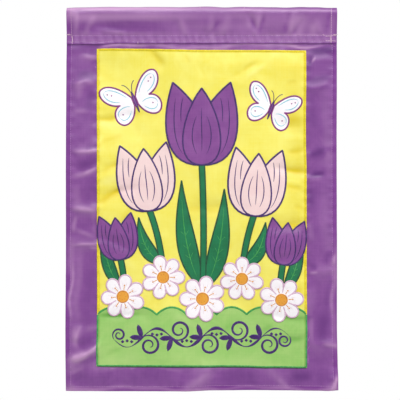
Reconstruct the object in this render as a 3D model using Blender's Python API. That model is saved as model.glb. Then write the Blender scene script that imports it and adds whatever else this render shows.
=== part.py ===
"""Garden flag: a hemmed nylon ground with a rod sleeve, a set-in panel and sewn-on flower motifs.

The flag hangs in the XZ plane and faces -Y. The origin is the middle of the rod's axis in the sleeve.
Distances named drop are measured down from the flag's top edge, and distances named rise are
measured up from the panel's lower edge. Everything is in metres.
"""

import math
from collections import namedtuple

import bmesh
import bpy
from mathutils import Vector

# Driving sizes of the whole flag.
FLAG_WIDTH = 0.324
FLAG_HEIGHT = 0.457
CLOTH = 0.0012
GAP = 0.0003
HEM_WIDTH = 0.006
HEM_EXTRA = 0.0008
HEM_STEP = 0.0008

# The rod sleeve: an open loop of cloth over the rod, and a flap that is stitched down in front.
ROD_ROOM_RADIUS = 0.0065
STITCH_DROP = 0.0337
FLAP_DROP = 0.0426
SLEEVE_STATIONS = 20
ARC_STEPS = 8
WALL_STEPS = 3
END_SAG = 0.0004
SLEEVE_PUFF = 0.0008
SLEEVE_PUFF_PITCH = 0.085
FLAP_LIFT = 0.0007
FLAP_LIFT_PITCH = 0.041

# The set-in panel, its grass band and the window that it covers.
PANEL_WIDTH = 0.2506
PANEL_TOP_DROP = 0.0499
PANEL_BOTTOM_DROP = 0.4288
PANEL_SLOPE = 0.006
PANEL_CLOTH = 0.001
PANEL_LAP = 0.006
BAND_RISE = 0.062
SCALLOP_COUNT = 7
SCALLOP_DEPTH = 0.009
SCALLOP_STEPS = 6
SCALLOP_POWER = 0.8
BAND_MARGIN = 0.01

# The sewn-on motifs.
PATCH_CLOTH = 0.001
SEAM = 0.0004
MITRE_LIMIT = 0.5
STEM_WIDTH = 0.0064

# The shared grid that every flat piece is cut from, so that their folds match.
GRID_ACROSS = 28
GRID_DOWN = 36
FADE_START_DROP = 0.043
FADE_END_DROP = 0.075
SIDE_BOW = 0.0007
CUTTER_REACH = 0.04
CUT_TOLERANCE = 1e-7

TOP_Z = ROD_ROOM_RADIUS + CLOTH
HALF_WIDTH = FLAG_WIDTH / 2
PANEL_LEFT = -0.1253

# A fold is a soft ridge (height above zero) or trough. run is its length, slant its angle in degrees
# from level, rising to the right, and spread how far it reaches to each side.
Fold = namedtuple("Fold", "across drop run slant spread height")
FOLDS = (
    Fold(-0.139, 0.058, 0.026, 4, 0.009, 0.0014),
    Fold(-0.138, 0.088, 0.030, 8, 0.009, 0.0022),
    Fold(-0.136, 0.170, 0.030, 3, 0.009, 0.0018),
    Fold(-0.137, 0.238, 0.034, 2, 0.009, 0.0020),
    Fold(-0.140, 0.281, 0.040, -4, 0.009, 0.0016),
    Fold(-0.146, 0.386, 0.020, 80, 0.009, 0.0016),
    Fold(-0.140, 0.411, 0.044, 27, 0.009, 0.0032),
    Fold(0.139, 0.060, 0.028, -6, 0.009, 0.0016),
    Fold(0.139, 0.093, 0.030, 10, 0.009, 0.0020),
    Fold(0.141, 0.172, 0.032, 14, 0.010, 0.0016),
    Fold(0.144, 0.311, 0.026, -10, 0.009, 0.0014),
    Fold(0.131, 0.352, 0.040, 84, 0.009, 0.0014),
    Fold(0.142, 0.399, 0.030, 8, 0.010, 0.0018),
    Fold(0.156, 0.446, 0.030, 62, 0.010, 0.0030),
    Fold(-0.007, 0.443, 0.050, 38, 0.013, 0.0028),
    Fold(-0.056, 0.062, 0.030, -58, 0.009, -0.0018),
    Fold(0.052, 0.076, 0.032, 30, 0.009, -0.0016),
    Fold(-0.100, 0.133, 0.050, 2, 0.010, -0.0024),
    Fold(-0.108, 0.190, 0.036, 6, 0.009, -0.0014),
    Fold(-0.100, 0.222, 0.052, 10, 0.010, -0.0026),
    Fold(-0.106, 0.282, 0.044, -30, 0.010, -0.0024),
    Fold(0.106, 0.140, 0.044, -3, 0.010, -0.0016),
    Fold(0.104, 0.194, 0.044, -4, 0.010, -0.0024),
    Fold(0.101, 0.259, 0.050, 10, 0.010, -0.0026),
    Fold(0.103, 0.297, 0.046, 14, 0.010, -0.0018),
    Fold(0.010, 0.236, 0.050, 1, 0.011, -0.0022),
    Fold(-0.088, 0.369, 0.060, 0, 0.010, -0.0016),
    Fold(0.096, 0.370, 0.070, -2, 0.010, -0.0018),
)

# Swells are the slow waves of the whole flag as it hangs.
Swell = namedtuple("Swell", "height across down phase")
SWELLS = (
    Swell(0.0020, 0.260, 0.900, 0.6),
    Swell(0.0012, 0.700, 0.210, 2.1),
    Swell(0.0010, 0.150, 0.330, 4.0),
)

# A tulip's place is the bottom of its head.
Tulip = namedtuple("Tulip", "name across rise width height lean hue")
TULIPS = (
    Tulip("tulip_1", 0.000, 0.241, 0.082, 0.098, 0, "violet_cloth"),
    Tulip("tulip_2", -0.063, 0.186, 0.066, 0.080, 5, "pink_cloth"),
    Tulip("tulip_3", 0.063, 0.180, 0.066, 0.080, -4, "pink_cloth"),
    Tulip("tulip_4", -0.097, 0.128, 0.046, 0.054, 7, "violet_cloth"),
    Tulip("tulip_5", 0.097, 0.122, 0.046, 0.054, -7, "violet_cloth"),
)

# A daisy's place is its centre.
Daisy = namedtuple("Daisy", "name across rise radius turn")
DAISIES = (
    Daisy("daisy_1", -0.094, 0.084, 0.0260, 4),
    Daisy("daisy_2", -0.046, 0.107, 0.0255, 25),
    Daisy("daisy_3", 0.001, 0.081, 0.0270, 0),
    Daisy("daisy_4", 0.048, 0.105, 0.0255, 12),
    Daisy("daisy_5", 0.095, 0.080, 0.0260, 30),
)
DAISY_PETALS = 7
DAISY_PETAL_STEPS = 4
DAISY_NOTCH = 0.55
DAISY_EYE = 0.26
DAISY_EYE_STEPS = 10

# Stems and leaves run on a bent line from root over bend to tip.
Blade = namedtuple("Blade", "name root bend tip width")
STEMS = (
    Blade("stem_1", (0.001, 0.084), (0.004, 0.170), (0.000, 0.245), STEM_WIDTH),
    Blade("stem_2", (-0.046, 0.110), (-0.048, 0.150), (-0.0633, 0.190), STEM_WIDTH),
    Blade("stem_3", (0.048, 0.108), (0.050, 0.146), (0.0633, 0.184), STEM_WIDTH),
    Blade("stem_4", (-0.092, 0.086), (-0.092, 0.110), (-0.0973, 0.132), STEM_WIDTH),
    Blade("stem_5", (0.093, 0.082), (0.093, 0.104), (0.0973, 0.126), STEM_WIDTH),
)
LEAVES = (
    Blade("leaf_1", (-0.002, 0.100), (-0.024, 0.140), (-0.024, 0.222), 0.020),
    Blade("leaf_2", (0.006, 0.098), (0.026, 0.134), (0.027, 0.212), 0.020),
    Blade("leaf_3", (-0.048, 0.126), (-0.071, 0.134), (-0.075, 0.178), 0.015),
    Blade("leaf_4", (0.050, 0.124), (0.072, 0.130), (0.076, 0.172), 0.015),
    Blade("leaf_5", (-0.098, 0.100), (-0.116, 0.112), (-0.119, 0.176), 0.013),
    Blade("leaf_6", (0.099, 0.096), (0.116, 0.108), (0.119, 0.170), 0.013),
)
BLADE_STEPS = 6
LEAF_FULLNESS = 0.98
LEAF_SKEW = 0.85
LEAF_ROOT = 0.25

# A butterfly's place is the middle of its body, and span is half of its width.
Butterfly = namedtuple("Butterfly", "name across rise span turn")
BUTTERFLIES = (
    Butterfly("butterfly_1", -0.080, 0.318, 0.037, 22),
    Butterfly("butterfly_2", 0.083, 0.308, 0.033, -20),
)
WING_ROOT = 0.065
BODY_HALF_WIDTH = 0.045
CURVE_STEPS = 4

COLOURS = {
    "purple_cloth": (132, 76, 150),
    "yellow_cloth": (248, 236, 96),
    "green_cloth": (166, 207, 112),
    "pink_cloth": (241, 213, 211),
    "violet_cloth": (140, 76, 150),
    "white_cloth": (246, 244, 246),
    "leaf_cloth": (24, 130, 88),
    "gold_cloth": (240, 176, 60),
}
ROUGHNESS = 0.5


def linear(value):
    """A screen colour from 0 to 255 as the linear value that a material takes."""
    share = value / 255
    return share / 12.92 if share <= 0.04045 else ((share + 0.055) / 1.055) ** 2.4


def make_materials():
    materials = {}
    for name, colour in COLOURS.items():
        material = bpy.data.materials.new(name)
        material.use_nodes = True
        shader = material.node_tree.nodes["Principled BSDF"]
        shader.inputs["Base Color"].default_value = (*map(linear, colour), 1)
        shader.inputs["Roughness"].default_value = ROUGHNESS
        shader.inputs["Metallic"].default_value = 0
        materials[name] = material
    return materials


def drop_z(drop):
    return TOP_Z - drop


def rise_z(rise):
    return drop_z(PANEL_BOTTOM_DROP) + rise


def ease(start, end, value):
    share = min(1.0, max(0.0, (value - start) / (end - start)))
    return share * share * (3 - 2 * share)


def fold_height(fold, x, z):
    dx = x - fold.across
    dz = z - drop_z(fold.drop)
    angle = math.radians(fold.slant)
    along = dx * math.cos(angle) + dz * math.sin(angle)
    away = dz * math.cos(angle) - dx * math.sin(angle)
    return fold.height * math.exp(-((2 * along / fold.run) ** 4)) * math.exp(-((away / fold.spread) ** 2))


def swell_height(swell, x, z):
    turns = x / swell.across + z / swell.down
    return swell.height * math.sin(2 * math.pi * turns + swell.phase)


def cloth_y(x, z):
    """Where the middle of the ground cloth hangs. It is flat under the sleeve's flap."""
    height = sum(fold_height(fold, x, z) for fold in FOLDS)
    height += sum(swell_height(swell, x, z) for swell in SWELLS)
    return -height * ease(FADE_START_DROP, FADE_END_DROP, TOP_Z - z)


def bowed(x, z):
    """The ground's sides draw in a little between the sleeve and the lower hem."""
    share = (TOP_Z - z) / FLAG_HEIGHT
    return x * (1 - SIDE_BOW / HALF_WIDTH * 4 * share * (1 - share))


def shared_grid():
    """The ground's middle surface as triangles, from the sleeve's stitching to the lower hem."""
    top = drop_z(STITCH_DROP) - GAP
    bottom = drop_z(FLAG_HEIGHT)
    mesh = bmesh.new()
    bmesh.ops.create_grid(mesh, x_segments=GRID_ACROSS, y_segments=GRID_DOWN, size=1)
    for vert in mesh.verts:
        z = bottom + (vert.co.y + 1) / 2 * (top - bottom)
        x = vert.co.x * HALF_WIDTH
        vert.co = (bowed(x, z), cloth_y(x, z), z)
    bmesh.ops.triangulate(mesh, faces=mesh.faces[:])
    return mesh


def slice_grid(mesh, point, normal, clear=False):
    """Cuts the grid along a line in the XZ plane, and with clear drops the side that normal points to."""
    bmesh.ops.bisect_plane(
        mesh,
        geom=mesh.verts[:] + mesh.edges[:] + mesh.faces[:],
        dist=CUT_TOLERANCE,
        plane_co=(point[0], 0, point[1]),
        plane_no=(normal[0], 0, normal[1]),
        clear_outer=clear,
    )


def panel_lines(inset):
    """The panel's four edges, moved in by inset, as (point, normal out)."""
    right = PANEL_LEFT + PANEL_WIDTH
    return (
        ((PANEL_LEFT + inset, 0), (-1, 0)),
        ((right - inset, 0), (1, 0)),
        ((0, drop_z(PANEL_TOP_DROP) - inset), (PANEL_SLOPE, 1)),
        ((0, drop_z(PANEL_BOTTOM_DROP) + inset), (-PANEL_SLOPE, -1)),
    )


def outside(point, lines):
    return any((point.x - at[0]) * way[0] + (point.z - at[1]) * way[1] > 0 for at, way in lines)


def thicken(mesh, back, thickness):
    """Moves a cut of the grid to its own layer, gives it body towards the front and returns its back."""
    rear = mesh.verts[:]
    bmesh.ops.translate(mesh, verts=rear, vec=(0, back, 0))
    made = bmesh.ops.extrude_face_region(mesh, geom=mesh.faces[:])
    front = [part for part in made["geom"] if isinstance(part, bmesh.types.BMVert)]
    bmesh.ops.translate(mesh, verts=front, vec=(0, -thickness, 0))
    bmesh.ops.recalc_face_normals(mesh, faces=mesh.faces[:])
    return rear


def add_object(name, mesh, material=None):
    data = bpy.data.meshes.new(name)
    mesh.to_mesh(data)
    mesh.free()
    made = bpy.data.objects.new(name, data)
    bpy.context.scene.collection.objects.link(made)
    if material:
        data.materials.append(material)
    return made


def bezier(start, first, second, end, steps=CURVE_STEPS):
    """The points of a cubic curve, without its last one."""
    points = []
    for step in range(steps):
        t = step / steps
        s = 1 - t
        points.append(
            tuple(
                s**3 * a + 3 * s * s * t * b + 3 * s * t * t * c + t**3 * d
                for a, b, c, d in zip(start, first, second, end)
            )
        )
    return points


def placed(outline, across, rise, width, height, turn):
    """An outline drawn at unit size, scaled, turned by degrees and set on the panel."""
    angle = math.radians(turn)
    spots = []
    for u, v in outline:
        x, z = u * width, v * height
        spots.append(
            (
                across + x * math.cos(angle) - z * math.sin(angle),
                rise_z(rise) + x * math.sin(angle) + z * math.cos(angle),
            )
        )
    return spots


def grown(outline, by):
    """The outline moved outwards, square to its edges."""
    area = sum(a[0] * b[1] - b[0] * a[1] for a, b in zip(outline, outline[1:] + outline[:1]))
    side = math.copysign(1, area)
    spots = []
    for before, at, after in zip(outline[-1:] + outline[:-1], outline, outline[1:] + outline[:1]):
        first = (Vector(at) - Vector(before)).normalized()
        second = (Vector(after) - Vector(at)).normalized()
        normal = Vector((first.y + second.y, -first.x - second.x)).normalized()
        reach = by / max(MITRE_LIMIT, normal.dot(Vector((first.y, -first.x))))
        spots.append((at[0] + side * normal.x * reach, at[1] + side * normal.y * reach))
    return spots


def cutter(name, outline):
    """A prism on an outline, right through the flag from front to back."""
    mesh = bmesh.new()
    ring = [mesh.verts.new((x, CUTTER_REACH, z)) for x, z in outline]
    face = mesh.faces.new(ring)
    made = bmesh.ops.extrude_face_region(mesh, geom=[face])
    front = [part for part in made["geom"] if isinstance(part, bmesh.types.BMVert)]
    bmesh.ops.translate(mesh, verts=front, vec=(0, -2 * CUTTER_REACH, 0))
    bmesh.ops.recalc_face_normals(mesh, faces=mesh.faces[:])
    tool = add_object(name, mesh)
    tool.hide_render = True
    tool.display_type = "WIRE"
    return tool


def cut(target, tool, operation):
    modifier = target.modifiers.new(f"{operation.lower()} {tool.name}", "BOOLEAN")
    modifier.operation = operation
    modifier.solver = "EXACT"
    modifier.object = tool


PANEL_BACK = -CLOTH / 2 - GAP
PATCH_BACK = PANEL_BACK - PANEL_CLOTH - GAP
EYE_BACK = PATCH_BACK - PATCH_CLOTH - GAP
BLOCK_MARGIN = 0.004


def patch(name, outline, material, grid, back=PATCH_BACK, without=()):
    """A sewn-on piece: the shared grid's folds inside an outline, less the clearances in without."""
    mesh = grid.copy()
    across = [x for x, _ in outline]
    up = [z for _, z in outline]
    slice_grid(mesh, (min(across) - BLOCK_MARGIN, 0), (-1, 0), clear=True)
    slice_grid(mesh, (max(across) + BLOCK_MARGIN, 0), (1, 0), clear=True)
    slice_grid(mesh, (0, min(up) - BLOCK_MARGIN), (0, -1), clear=True)
    slice_grid(mesh, (0, max(up) + BLOCK_MARGIN), (0, 1), clear=True)
    thicken(mesh, back, PATCH_CLOTH)
    made = add_object(name, mesh, material)
    cut(made, cutter(f"{name} outline", outline), "INTERSECT")
    for tool in without:
        cut(made, tool, "DIFFERENCE")
    return made


def clearance(name, outline):
    return cutter(f"{name} clearance", grown(outline, SEAM))


def make_ground(grid, material):
    """The hemmed ground cloth, with a window behind the panel and a double-turned hem on its back."""
    mesh = grid.copy()
    window = panel_lines(PANEL_LAP)
    for point, normal in window:
        slice_grid(mesh, point, normal)
    doomed = [face for face in mesh.faces if not outside(face.calc_center_median(), window)]
    bmesh.ops.delete(mesh, geom=doomed, context="FACES")
    hem_line = HALF_WIDTH - HEM_WIDTH
    hem_z = drop_z(FLAG_HEIGHT) + HEM_WIDTH
    for inset in (0, HEM_STEP):
        slice_grid(mesh, (-hem_line + inset, 0), (-1, 0))
        slice_grid(mesh, (hem_line - inset, 0), (1, 0))
        slice_grid(mesh, (0, hem_z + inset), (0, -1))
    slack = HEM_STEP / 4
    for vert in thicken(mesh, CLOTH / 2, CLOTH):
        if abs(vert.co.x) > hem_line - slack or vert.co.z < hem_z + slack:
            vert.co.y += HEM_EXTRA
    return add_object("ground_cloth", mesh, material)


def sleeve_section():
    """The sleeve's outer and inner outlines in the YZ plane, each as a closed ring of points."""
    outer_radius = ROD_ROOM_RADIUS + CLOTH
    stitch = drop_z(STITCH_DROP)
    flap = drop_z(FLAP_DROP)
    flap_back = -CLOTH / 2 - GAP
    flap_front = flap_back - CLOTH
    back = CLOTH / 2
    inner_end = stitch + CLOTH
    middle = (flap_back + back) / 2 - CLOTH / 4
    outer, inner = [], []
    for step in range(ARC_STEPS + 1):
        angle = math.pi * step / ARC_STEPS
        outer.append((outer_radius * math.cos(angle), outer_radius * math.sin(angle)))
        inner.append((ROD_ROOM_RADIUS * math.cos(angle), ROD_ROOM_RADIUS * math.sin(angle)))
    for step in range(1, WALL_STEPS + 1):
        share = step / WALL_STEPS
        outer.append((-outer_radius + share * (outer_radius + flap_front), share * stitch))
    outer += [(flap_front, flap), (flap_back, flap), (flap_back, stitch), (back, stitch)]
    for step in range(1, WALL_STEPS):
        share = step / WALL_STEPS
        outer.append((back + share * (outer_radius - back), (1 - share) * stitch))
    for step in range(1, WALL_STEPS):
        share = step / WALL_STEPS
        inner.append((-ROD_ROOM_RADIUS + share * (ROD_ROOM_RADIUS + middle), share * inner_end))
    inner.append((middle, inner_end))
    for step in range(1, WALL_STEPS):
        share = step / WALL_STEPS
        inner.append((middle + share * (ROD_ROOM_RADIUS - middle), (1 - share) * inner_end))
    return outer, inner


def sleeve_shift(x, y, z):
    """How the empty sleeve slumps: its ends sag, its walls puff and its flap lifts in small waves."""
    stitch = drop_z(STITCH_DROP)
    share = min(1.0, max(0.0, (z - stitch) / (TOP_Z - stitch)))
    sag = -END_SAG * share * (x / HALF_WIDTH) ** 4
    wall = math.sin(math.pi * share)
    puff = SLEEVE_PUFF * wall * math.sin(2 * math.pi * x / SLEEVE_PUFF_PITCH + 1)
    if z < stitch - CLOTH:
        lift = FLAP_LIFT * (0.5 + 0.5 * math.sin(2 * math.pi * x / FLAP_LIFT_PITCH))
        return Vector((0, -lift, 0))
    return Vector((0, puff if y > 0 else -puff, sag))


def make_sleeve(material):
    mesh = bmesh.new()
    edges = []
    for ring in sleeve_section():
        verts = [mesh.verts.new((-HALF_WIDTH, y, z)) for y, z in ring]
        edges += [mesh.edges.new(pair) for pair in zip(verts, verts[1:] + verts[:1])]
    bmesh.ops.triangle_fill(mesh, use_beauty=True, edges=edges)
    cap = mesh.verts[:] + mesh.edges[:] + mesh.faces[:]
    for _ in range(SLEEVE_STATIONS):
        cap = bmesh.ops.extrude_face_region(mesh, geom=cap)["geom"]
        moved = [part for part in cap if isinstance(part, bmesh.types.BMVert)]
        bmesh.ops.translate(mesh, verts=moved, vec=(FLAG_WIDTH / SLEEVE_STATIONS, 0, 0))
    for vert in mesh.verts:
        vert.co += sleeve_shift(*vert.co)
    bmesh.ops.recalc_face_normals(mesh, faces=mesh.faces[:])
    return add_object("rod_sleeve", mesh, material)


def band_outline(by=0.0):
    """The grass band's outline, reaching past the panel's sides and foot. Its top edge is scalloped."""
    left, right = PANEL_LEFT - BAND_MARGIN, PANEL_LEFT + PANEL_WIDTH + BAND_MARGIN
    pitch = PANEL_WIDTH / SCALLOP_COUNT
    points = [(left, rise_z(-BAND_MARGIN)), (right, rise_z(-BAND_MARGIN)), (right, rise_z(BAND_RISE + by))]
    for step in range(SCALLOP_COUNT * SCALLOP_STEPS, -1, -1):
        x = PANEL_LEFT + pitch * step / SCALLOP_STEPS
        hump = abs(math.sin(math.pi * step / SCALLOP_STEPS)) ** SCALLOP_POWER
        points.append((x, rise_z(BAND_RISE + by + SCALLOP_DEPTH * hump)))
    points.append((left, rise_z(BAND_RISE + by)))
    return points


def make_panel(grid, materials):
    """The sky panel and the grass band lie side by side in one layer, over the ground's window."""
    made = []
    for name, material in (("sky_panel", "yellow_cloth"), ("grass_band", "green_cloth")):
        mesh = grid.copy()
        for point, normal in panel_lines(0):
            slice_grid(mesh, point, normal, clear=True)
        low, high = rise_z(BAND_RISE), rise_z(BAND_RISE + SCALLOP_DEPTH)
        if name == "sky_panel":
            slice_grid(mesh, (0, low - BLOCK_MARGIN), (0, -1), clear=True)
        else:
            slice_grid(mesh, (0, high + BLOCK_MARGIN), (0, 1), clear=True)
        thicken(mesh, PANEL_BACK, PANEL_CLOTH)
        made.append(add_object(name, mesh, materials[material]))
    sky, grass = made
    cut(grass, cutter("grass outline", band_outline()), "INTERSECT")
    cut(sky, cutter("grass clearance", band_outline(SEAM)), "DIFFERENCE")


def tulip_outlines(tulip):
    """The front petal, and the two side petals that show behind it."""
    right_edge = bezier((0, 0), (0.43, 0.0), (0.30, 0.62), (0, 0.93))
    left_edge = bezier((0, 0.93), (-0.30, 0.62), (-0.43, 0.0), (0, 0))
    side = bezier((0, 0), (0.58, -0.02), (0.60, 0.55), (0.42, 1.0))
    side += bezier((0.42, 1.0), (0.27, 0.90), (0.14, 0.78), (0.02, 0.62), 3) + [(0.02, 0.62)]
    other = [(-u, v) for u, v in reversed(side[1:])] + [(0, 0)]
    spot = (tulip.across, tulip.rise, tulip.width, tulip.height, tulip.lean)
    return {
        "front_petal": placed(right_edge + left_edge, *spot),
        "right_petal": placed(side, *spot),
        "left_petal": placed(other, *spot),
    }


def daisy_outline(daisy):
    count = DAISY_PETALS * DAISY_PETAL_STEPS
    outline = []
    for step in range(count):
        angle = 2 * math.pi * step / count
        reach = DAISY_NOTCH + (1 - DAISY_NOTCH) * math.sqrt(abs(math.sin(DAISY_PETALS * angle / 2)))
        outline.append((reach * math.cos(angle), reach * math.sin(angle)))
    return placed(outline, daisy.across, daisy.rise, daisy.radius, daisy.radius, daisy.turn)


def eye_outline(daisy):
    angles = [2 * math.pi * step / DAISY_EYE_STEPS for step in range(DAISY_EYE_STEPS)]
    outline = [(DAISY_EYE * math.cos(angle), DAISY_EYE * math.sin(angle)) for angle in angles]
    return placed(outline, daisy.across, daisy.rise, daisy.radius, daisy.radius, daisy.turn)


def blade_outline(blade, pointed):
    """A strip along a bent line. A stem keeps its width, and a leaf swells and ends in a point."""
    right, left = [], []
    for step in range(BLADE_STEPS + 1):
        t = step / BLADE_STEPS
        s = 1 - t
        spot = [s * s * a + 2 * s * t * b + t * t * c for a, b, c in zip(blade.root, blade.bend, blade.tip)]
        way = [2 * s * (b - a) + 2 * t * (c - b) for a, b, c in zip(blade.root, blade.bend, blade.tip)]
        length = math.hypot(*way)
        half = blade.width / 2
        if pointed:
            half *= LEAF_FULLNESS * math.sin(math.pi * t**LEAF_SKEW) + LEAF_ROOT * s
        across = (way[1] / length * half, -way[0] / length * half)
        if pointed and step == BLADE_STEPS:
            right.append(spot)
            break
        right.append((spot[0] + across[0], spot[1] + across[1]))
        left.append((spot[0] - across[0], spot[1] - across[1]))
    return [(x, rise_z(rise)) for x, rise in right + left[::-1]]


def wing_outline(side):
    """One side's two wings as one piece, at unit span. side is 1 on the right and -1 on the left."""
    points = bezier((WING_ROOT, 0.12), (0.28, 0.52), (0.66, 0.86), (0.93, 0.70))
    points += bezier((0.93, 0.70), (1.10, 0.55), (0.92, 0.10), (0.50, 0.02))
    points += bezier((0.50, 0.02), (0.86, -0.06), (0.84, -0.52), (0.60, -0.62))
    points += bezier((0.60, -0.62), (0.38, -0.68), (0.14, -0.44), (WING_ROOT, -0.14))
    points.append((WING_ROOT, -0.14))
    return [(side * u, v) for u, v in points]


def body_outline():
    right = bezier((0, 0.30), (BODY_HALF_WIDTH, 0.24), (BODY_HALF_WIDTH, -0.14), (0, -0.40), 4)
    left = bezier((0, -0.40), (-BODY_HALF_WIDTH, -0.14), (-BODY_HALF_WIDTH, 0.24), (0, 0.30), 4)
    return right + left


def make_flowers(grid, materials):
    """Daisies lie in front, then the tulip heads, then the stems, then the leaves."""
    in_front = []
    for daisy in DAISIES:
        outline = daisy_outline(daisy)
        patch(f"{daisy.name}_petals", outline, materials["white_cloth"], grid)
        patch(f"{daisy.name}_eye", eye_outline(daisy), materials["gold_cloth"], grid, EYE_BACK)
        in_front.append(clearance(daisy.name, outline))
    for tulip in TULIPS:
        material = materials[tulip.hue]
        outlines = tulip_outlines(tulip)
        front = outlines.pop("front_petal")
        patch(f"{tulip.name}_front_petal", front, material, grid)
        room = clearance(f"{tulip.name} front", front)
        for side, outline in outlines.items():
            patch(f"{tulip.name}_{side}", outline, material, grid, without=[room])
            in_front.append(clearance(f"{tulip.name} {side}", outline))
        in_front.append(room)
    stem_rooms = []
    for stem in STEMS:
        outline = blade_outline(stem, pointed=False)
        patch(stem.name, outline, materials["leaf_cloth"], grid, without=near(outline, in_front))
        stem_rooms.append(clearance(stem.name, outline))
    for leaf in LEAVES:
        outline = blade_outline(leaf, pointed=True)
        rooms = near(outline, in_front + stem_rooms)
        patch(leaf.name, outline, materials["leaf_cloth"], grid, without=rooms)


def near(outline, tools):
    """The cutters whose boxes meet the outline's box."""
    low = [min(spot[axis] for spot in outline) for axis in (0, 1)]
    high = [max(spot[axis] for spot in outline) for axis in (0, 1)]
    found = []
    for tool in tools:
        spots = [(vert.co.x, vert.co.z) for vert in tool.data.vertices]
        if all(
            min(spot[axis] for spot in spots) < high[axis] and max(spot[axis] for spot in spots) > low[axis]
            for axis in (0, 1)
        ):
            found.append(tool)
    return found


def make_butterflies(grid, materials):
    for fly in BUTTERFLIES:
        spot = (fly.across, fly.rise, fly.span, fly.span, fly.turn)
        for side, way in (("right_wings", 1), ("left_wings", -1)):
            patch(f"{fly.name}_{side}", placed(wing_outline(way), *spot), materials["white_cloth"], grid)
        patch(f"{fly.name}_body", placed(body_outline(), *spot), materials["violet_cloth"], grid)


def main():
    for old in list(bpy.data.objects):
        bpy.data.objects.remove(old)
    materials = make_materials()
    grid = shared_grid()
    make_ground(grid, materials["purple_cloth"])
    make_sleeve(materials["purple_cloth"])
    make_panel(grid, materials)
    make_flowers(grid, materials)
    make_butterflies(grid, materials)
    grid.free()


main()
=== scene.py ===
# %% [markdown]
# # A garden flag with sewn-on flowers
# The real flag is nylon, 324 by 457 mm: a hemmed purple ground with a sleeve for the rod, a yellow panel
# with a green foot, and flower pieces held down by satin stitching.
# One plane with a picture on it would be quick, but then every edge would be flat and dead. Here each
# piece of cloth and each line of thread is its own mesh. It is laid flat, as on a sewing table, and hung
# last, so that all the layers share the same folds.

# %% Load the frame
import math
from collections import namedtuple

import bmesh
import bpy
import numpy as np
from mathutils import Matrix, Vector


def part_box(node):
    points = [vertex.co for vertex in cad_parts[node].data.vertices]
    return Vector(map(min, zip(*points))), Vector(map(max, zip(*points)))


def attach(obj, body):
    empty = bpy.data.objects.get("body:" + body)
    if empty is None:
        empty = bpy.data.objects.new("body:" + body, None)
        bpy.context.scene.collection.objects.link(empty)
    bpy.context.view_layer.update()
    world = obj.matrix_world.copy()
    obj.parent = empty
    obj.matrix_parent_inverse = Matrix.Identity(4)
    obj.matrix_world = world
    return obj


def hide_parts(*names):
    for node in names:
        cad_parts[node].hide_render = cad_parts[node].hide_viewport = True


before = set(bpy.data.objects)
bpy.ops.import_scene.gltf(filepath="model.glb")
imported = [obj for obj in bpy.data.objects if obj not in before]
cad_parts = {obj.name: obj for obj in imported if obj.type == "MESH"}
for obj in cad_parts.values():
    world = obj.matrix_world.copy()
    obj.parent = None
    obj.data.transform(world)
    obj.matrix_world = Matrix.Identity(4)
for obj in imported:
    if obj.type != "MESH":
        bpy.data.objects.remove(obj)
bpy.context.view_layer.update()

# %% [markdown]
# ## Sizes
# A maker measures down from the top edge, and up from the lower edge of the panel. The first is called
# drop here and the second rise. The outer sizes are read from the frame, so that the scene can't drift
# away from it, and the rest are named lengths.

# %% Sizes of the flag
MM = 0.001
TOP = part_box("rod_sleeve")[1].z
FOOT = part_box("ground_cloth")[0].z
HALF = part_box("rod_sleeve")[1].x
PANEL_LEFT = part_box("sky_panel")[0].x
PANEL_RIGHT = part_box("sky_panel")[1].x
PANEL_TOP_DROP = 49.9 * MM
PANEL_BOTTOM_DROP = 428.8 * MM
PANEL_SLOPE = 0.006
PANEL_LAP = 6 * MM
STITCH_DROP = 33.7 * MM
SECOND_ROW_DROP = 40.3 * MM
ROW_DROPS = (STITCH_DROP, SECOND_ROW_DROP)
FLAP_DROP = 43.3 * MM
HEM = 5.6 * MM
CELL = 1.7 * MM


def drop_z(drop):
    return TOP - drop


def rise_z(rise):
    return drop_z(PANEL_BOTTOM_DROP) + rise


def ease(start, end, value):
    """Rises softly from 0 at start to 1 at end."""
    share = np.clip((value - start) / (end - start), 0, 1)
    return share * share * (3 - 2 * share)


def span(value, start, full, fall, end):
    """Rises softly from 0 at start to 1 at full, and falls from 1 at fall to 0 at end."""
    return ease(start, full, value) * ease(-end, -fall, -value)


def bell(value, reach):
    """1 where value is 0, and falling off on both sides of it over about a reach."""
    return np.exp(-((value / reach) ** 2))


def waver(run, waves):
    """Adds up waves along a run. Each has a height, a length in millimetres for one radian, and a phase."""
    return sum(height * np.sin(run / (length * MM) + phase) for height, length, phase in waves)


print("flag", 2 * HALF, "by", TOP - FOOT, "metres")

# %% [markdown]
# ## The folds
# Thin nylon remembers how it was packed: long soft folds, short creases and a small pucker beside each seam.
# A cloth simulation would give folds of its own, so these are listed one by one where the real ones are. A
# fold is a ridge or a trough with a length, a slant and a spread, all in millimetres and degrees.

# %% The broad folds that the frame has too
Fold = namedtuple("Fold", "across drop run slant spread height")


def folds(*rows):
    """Makes folds of rows that hold their numbers."""
    return [Fold(*row) for row in rows]


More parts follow.
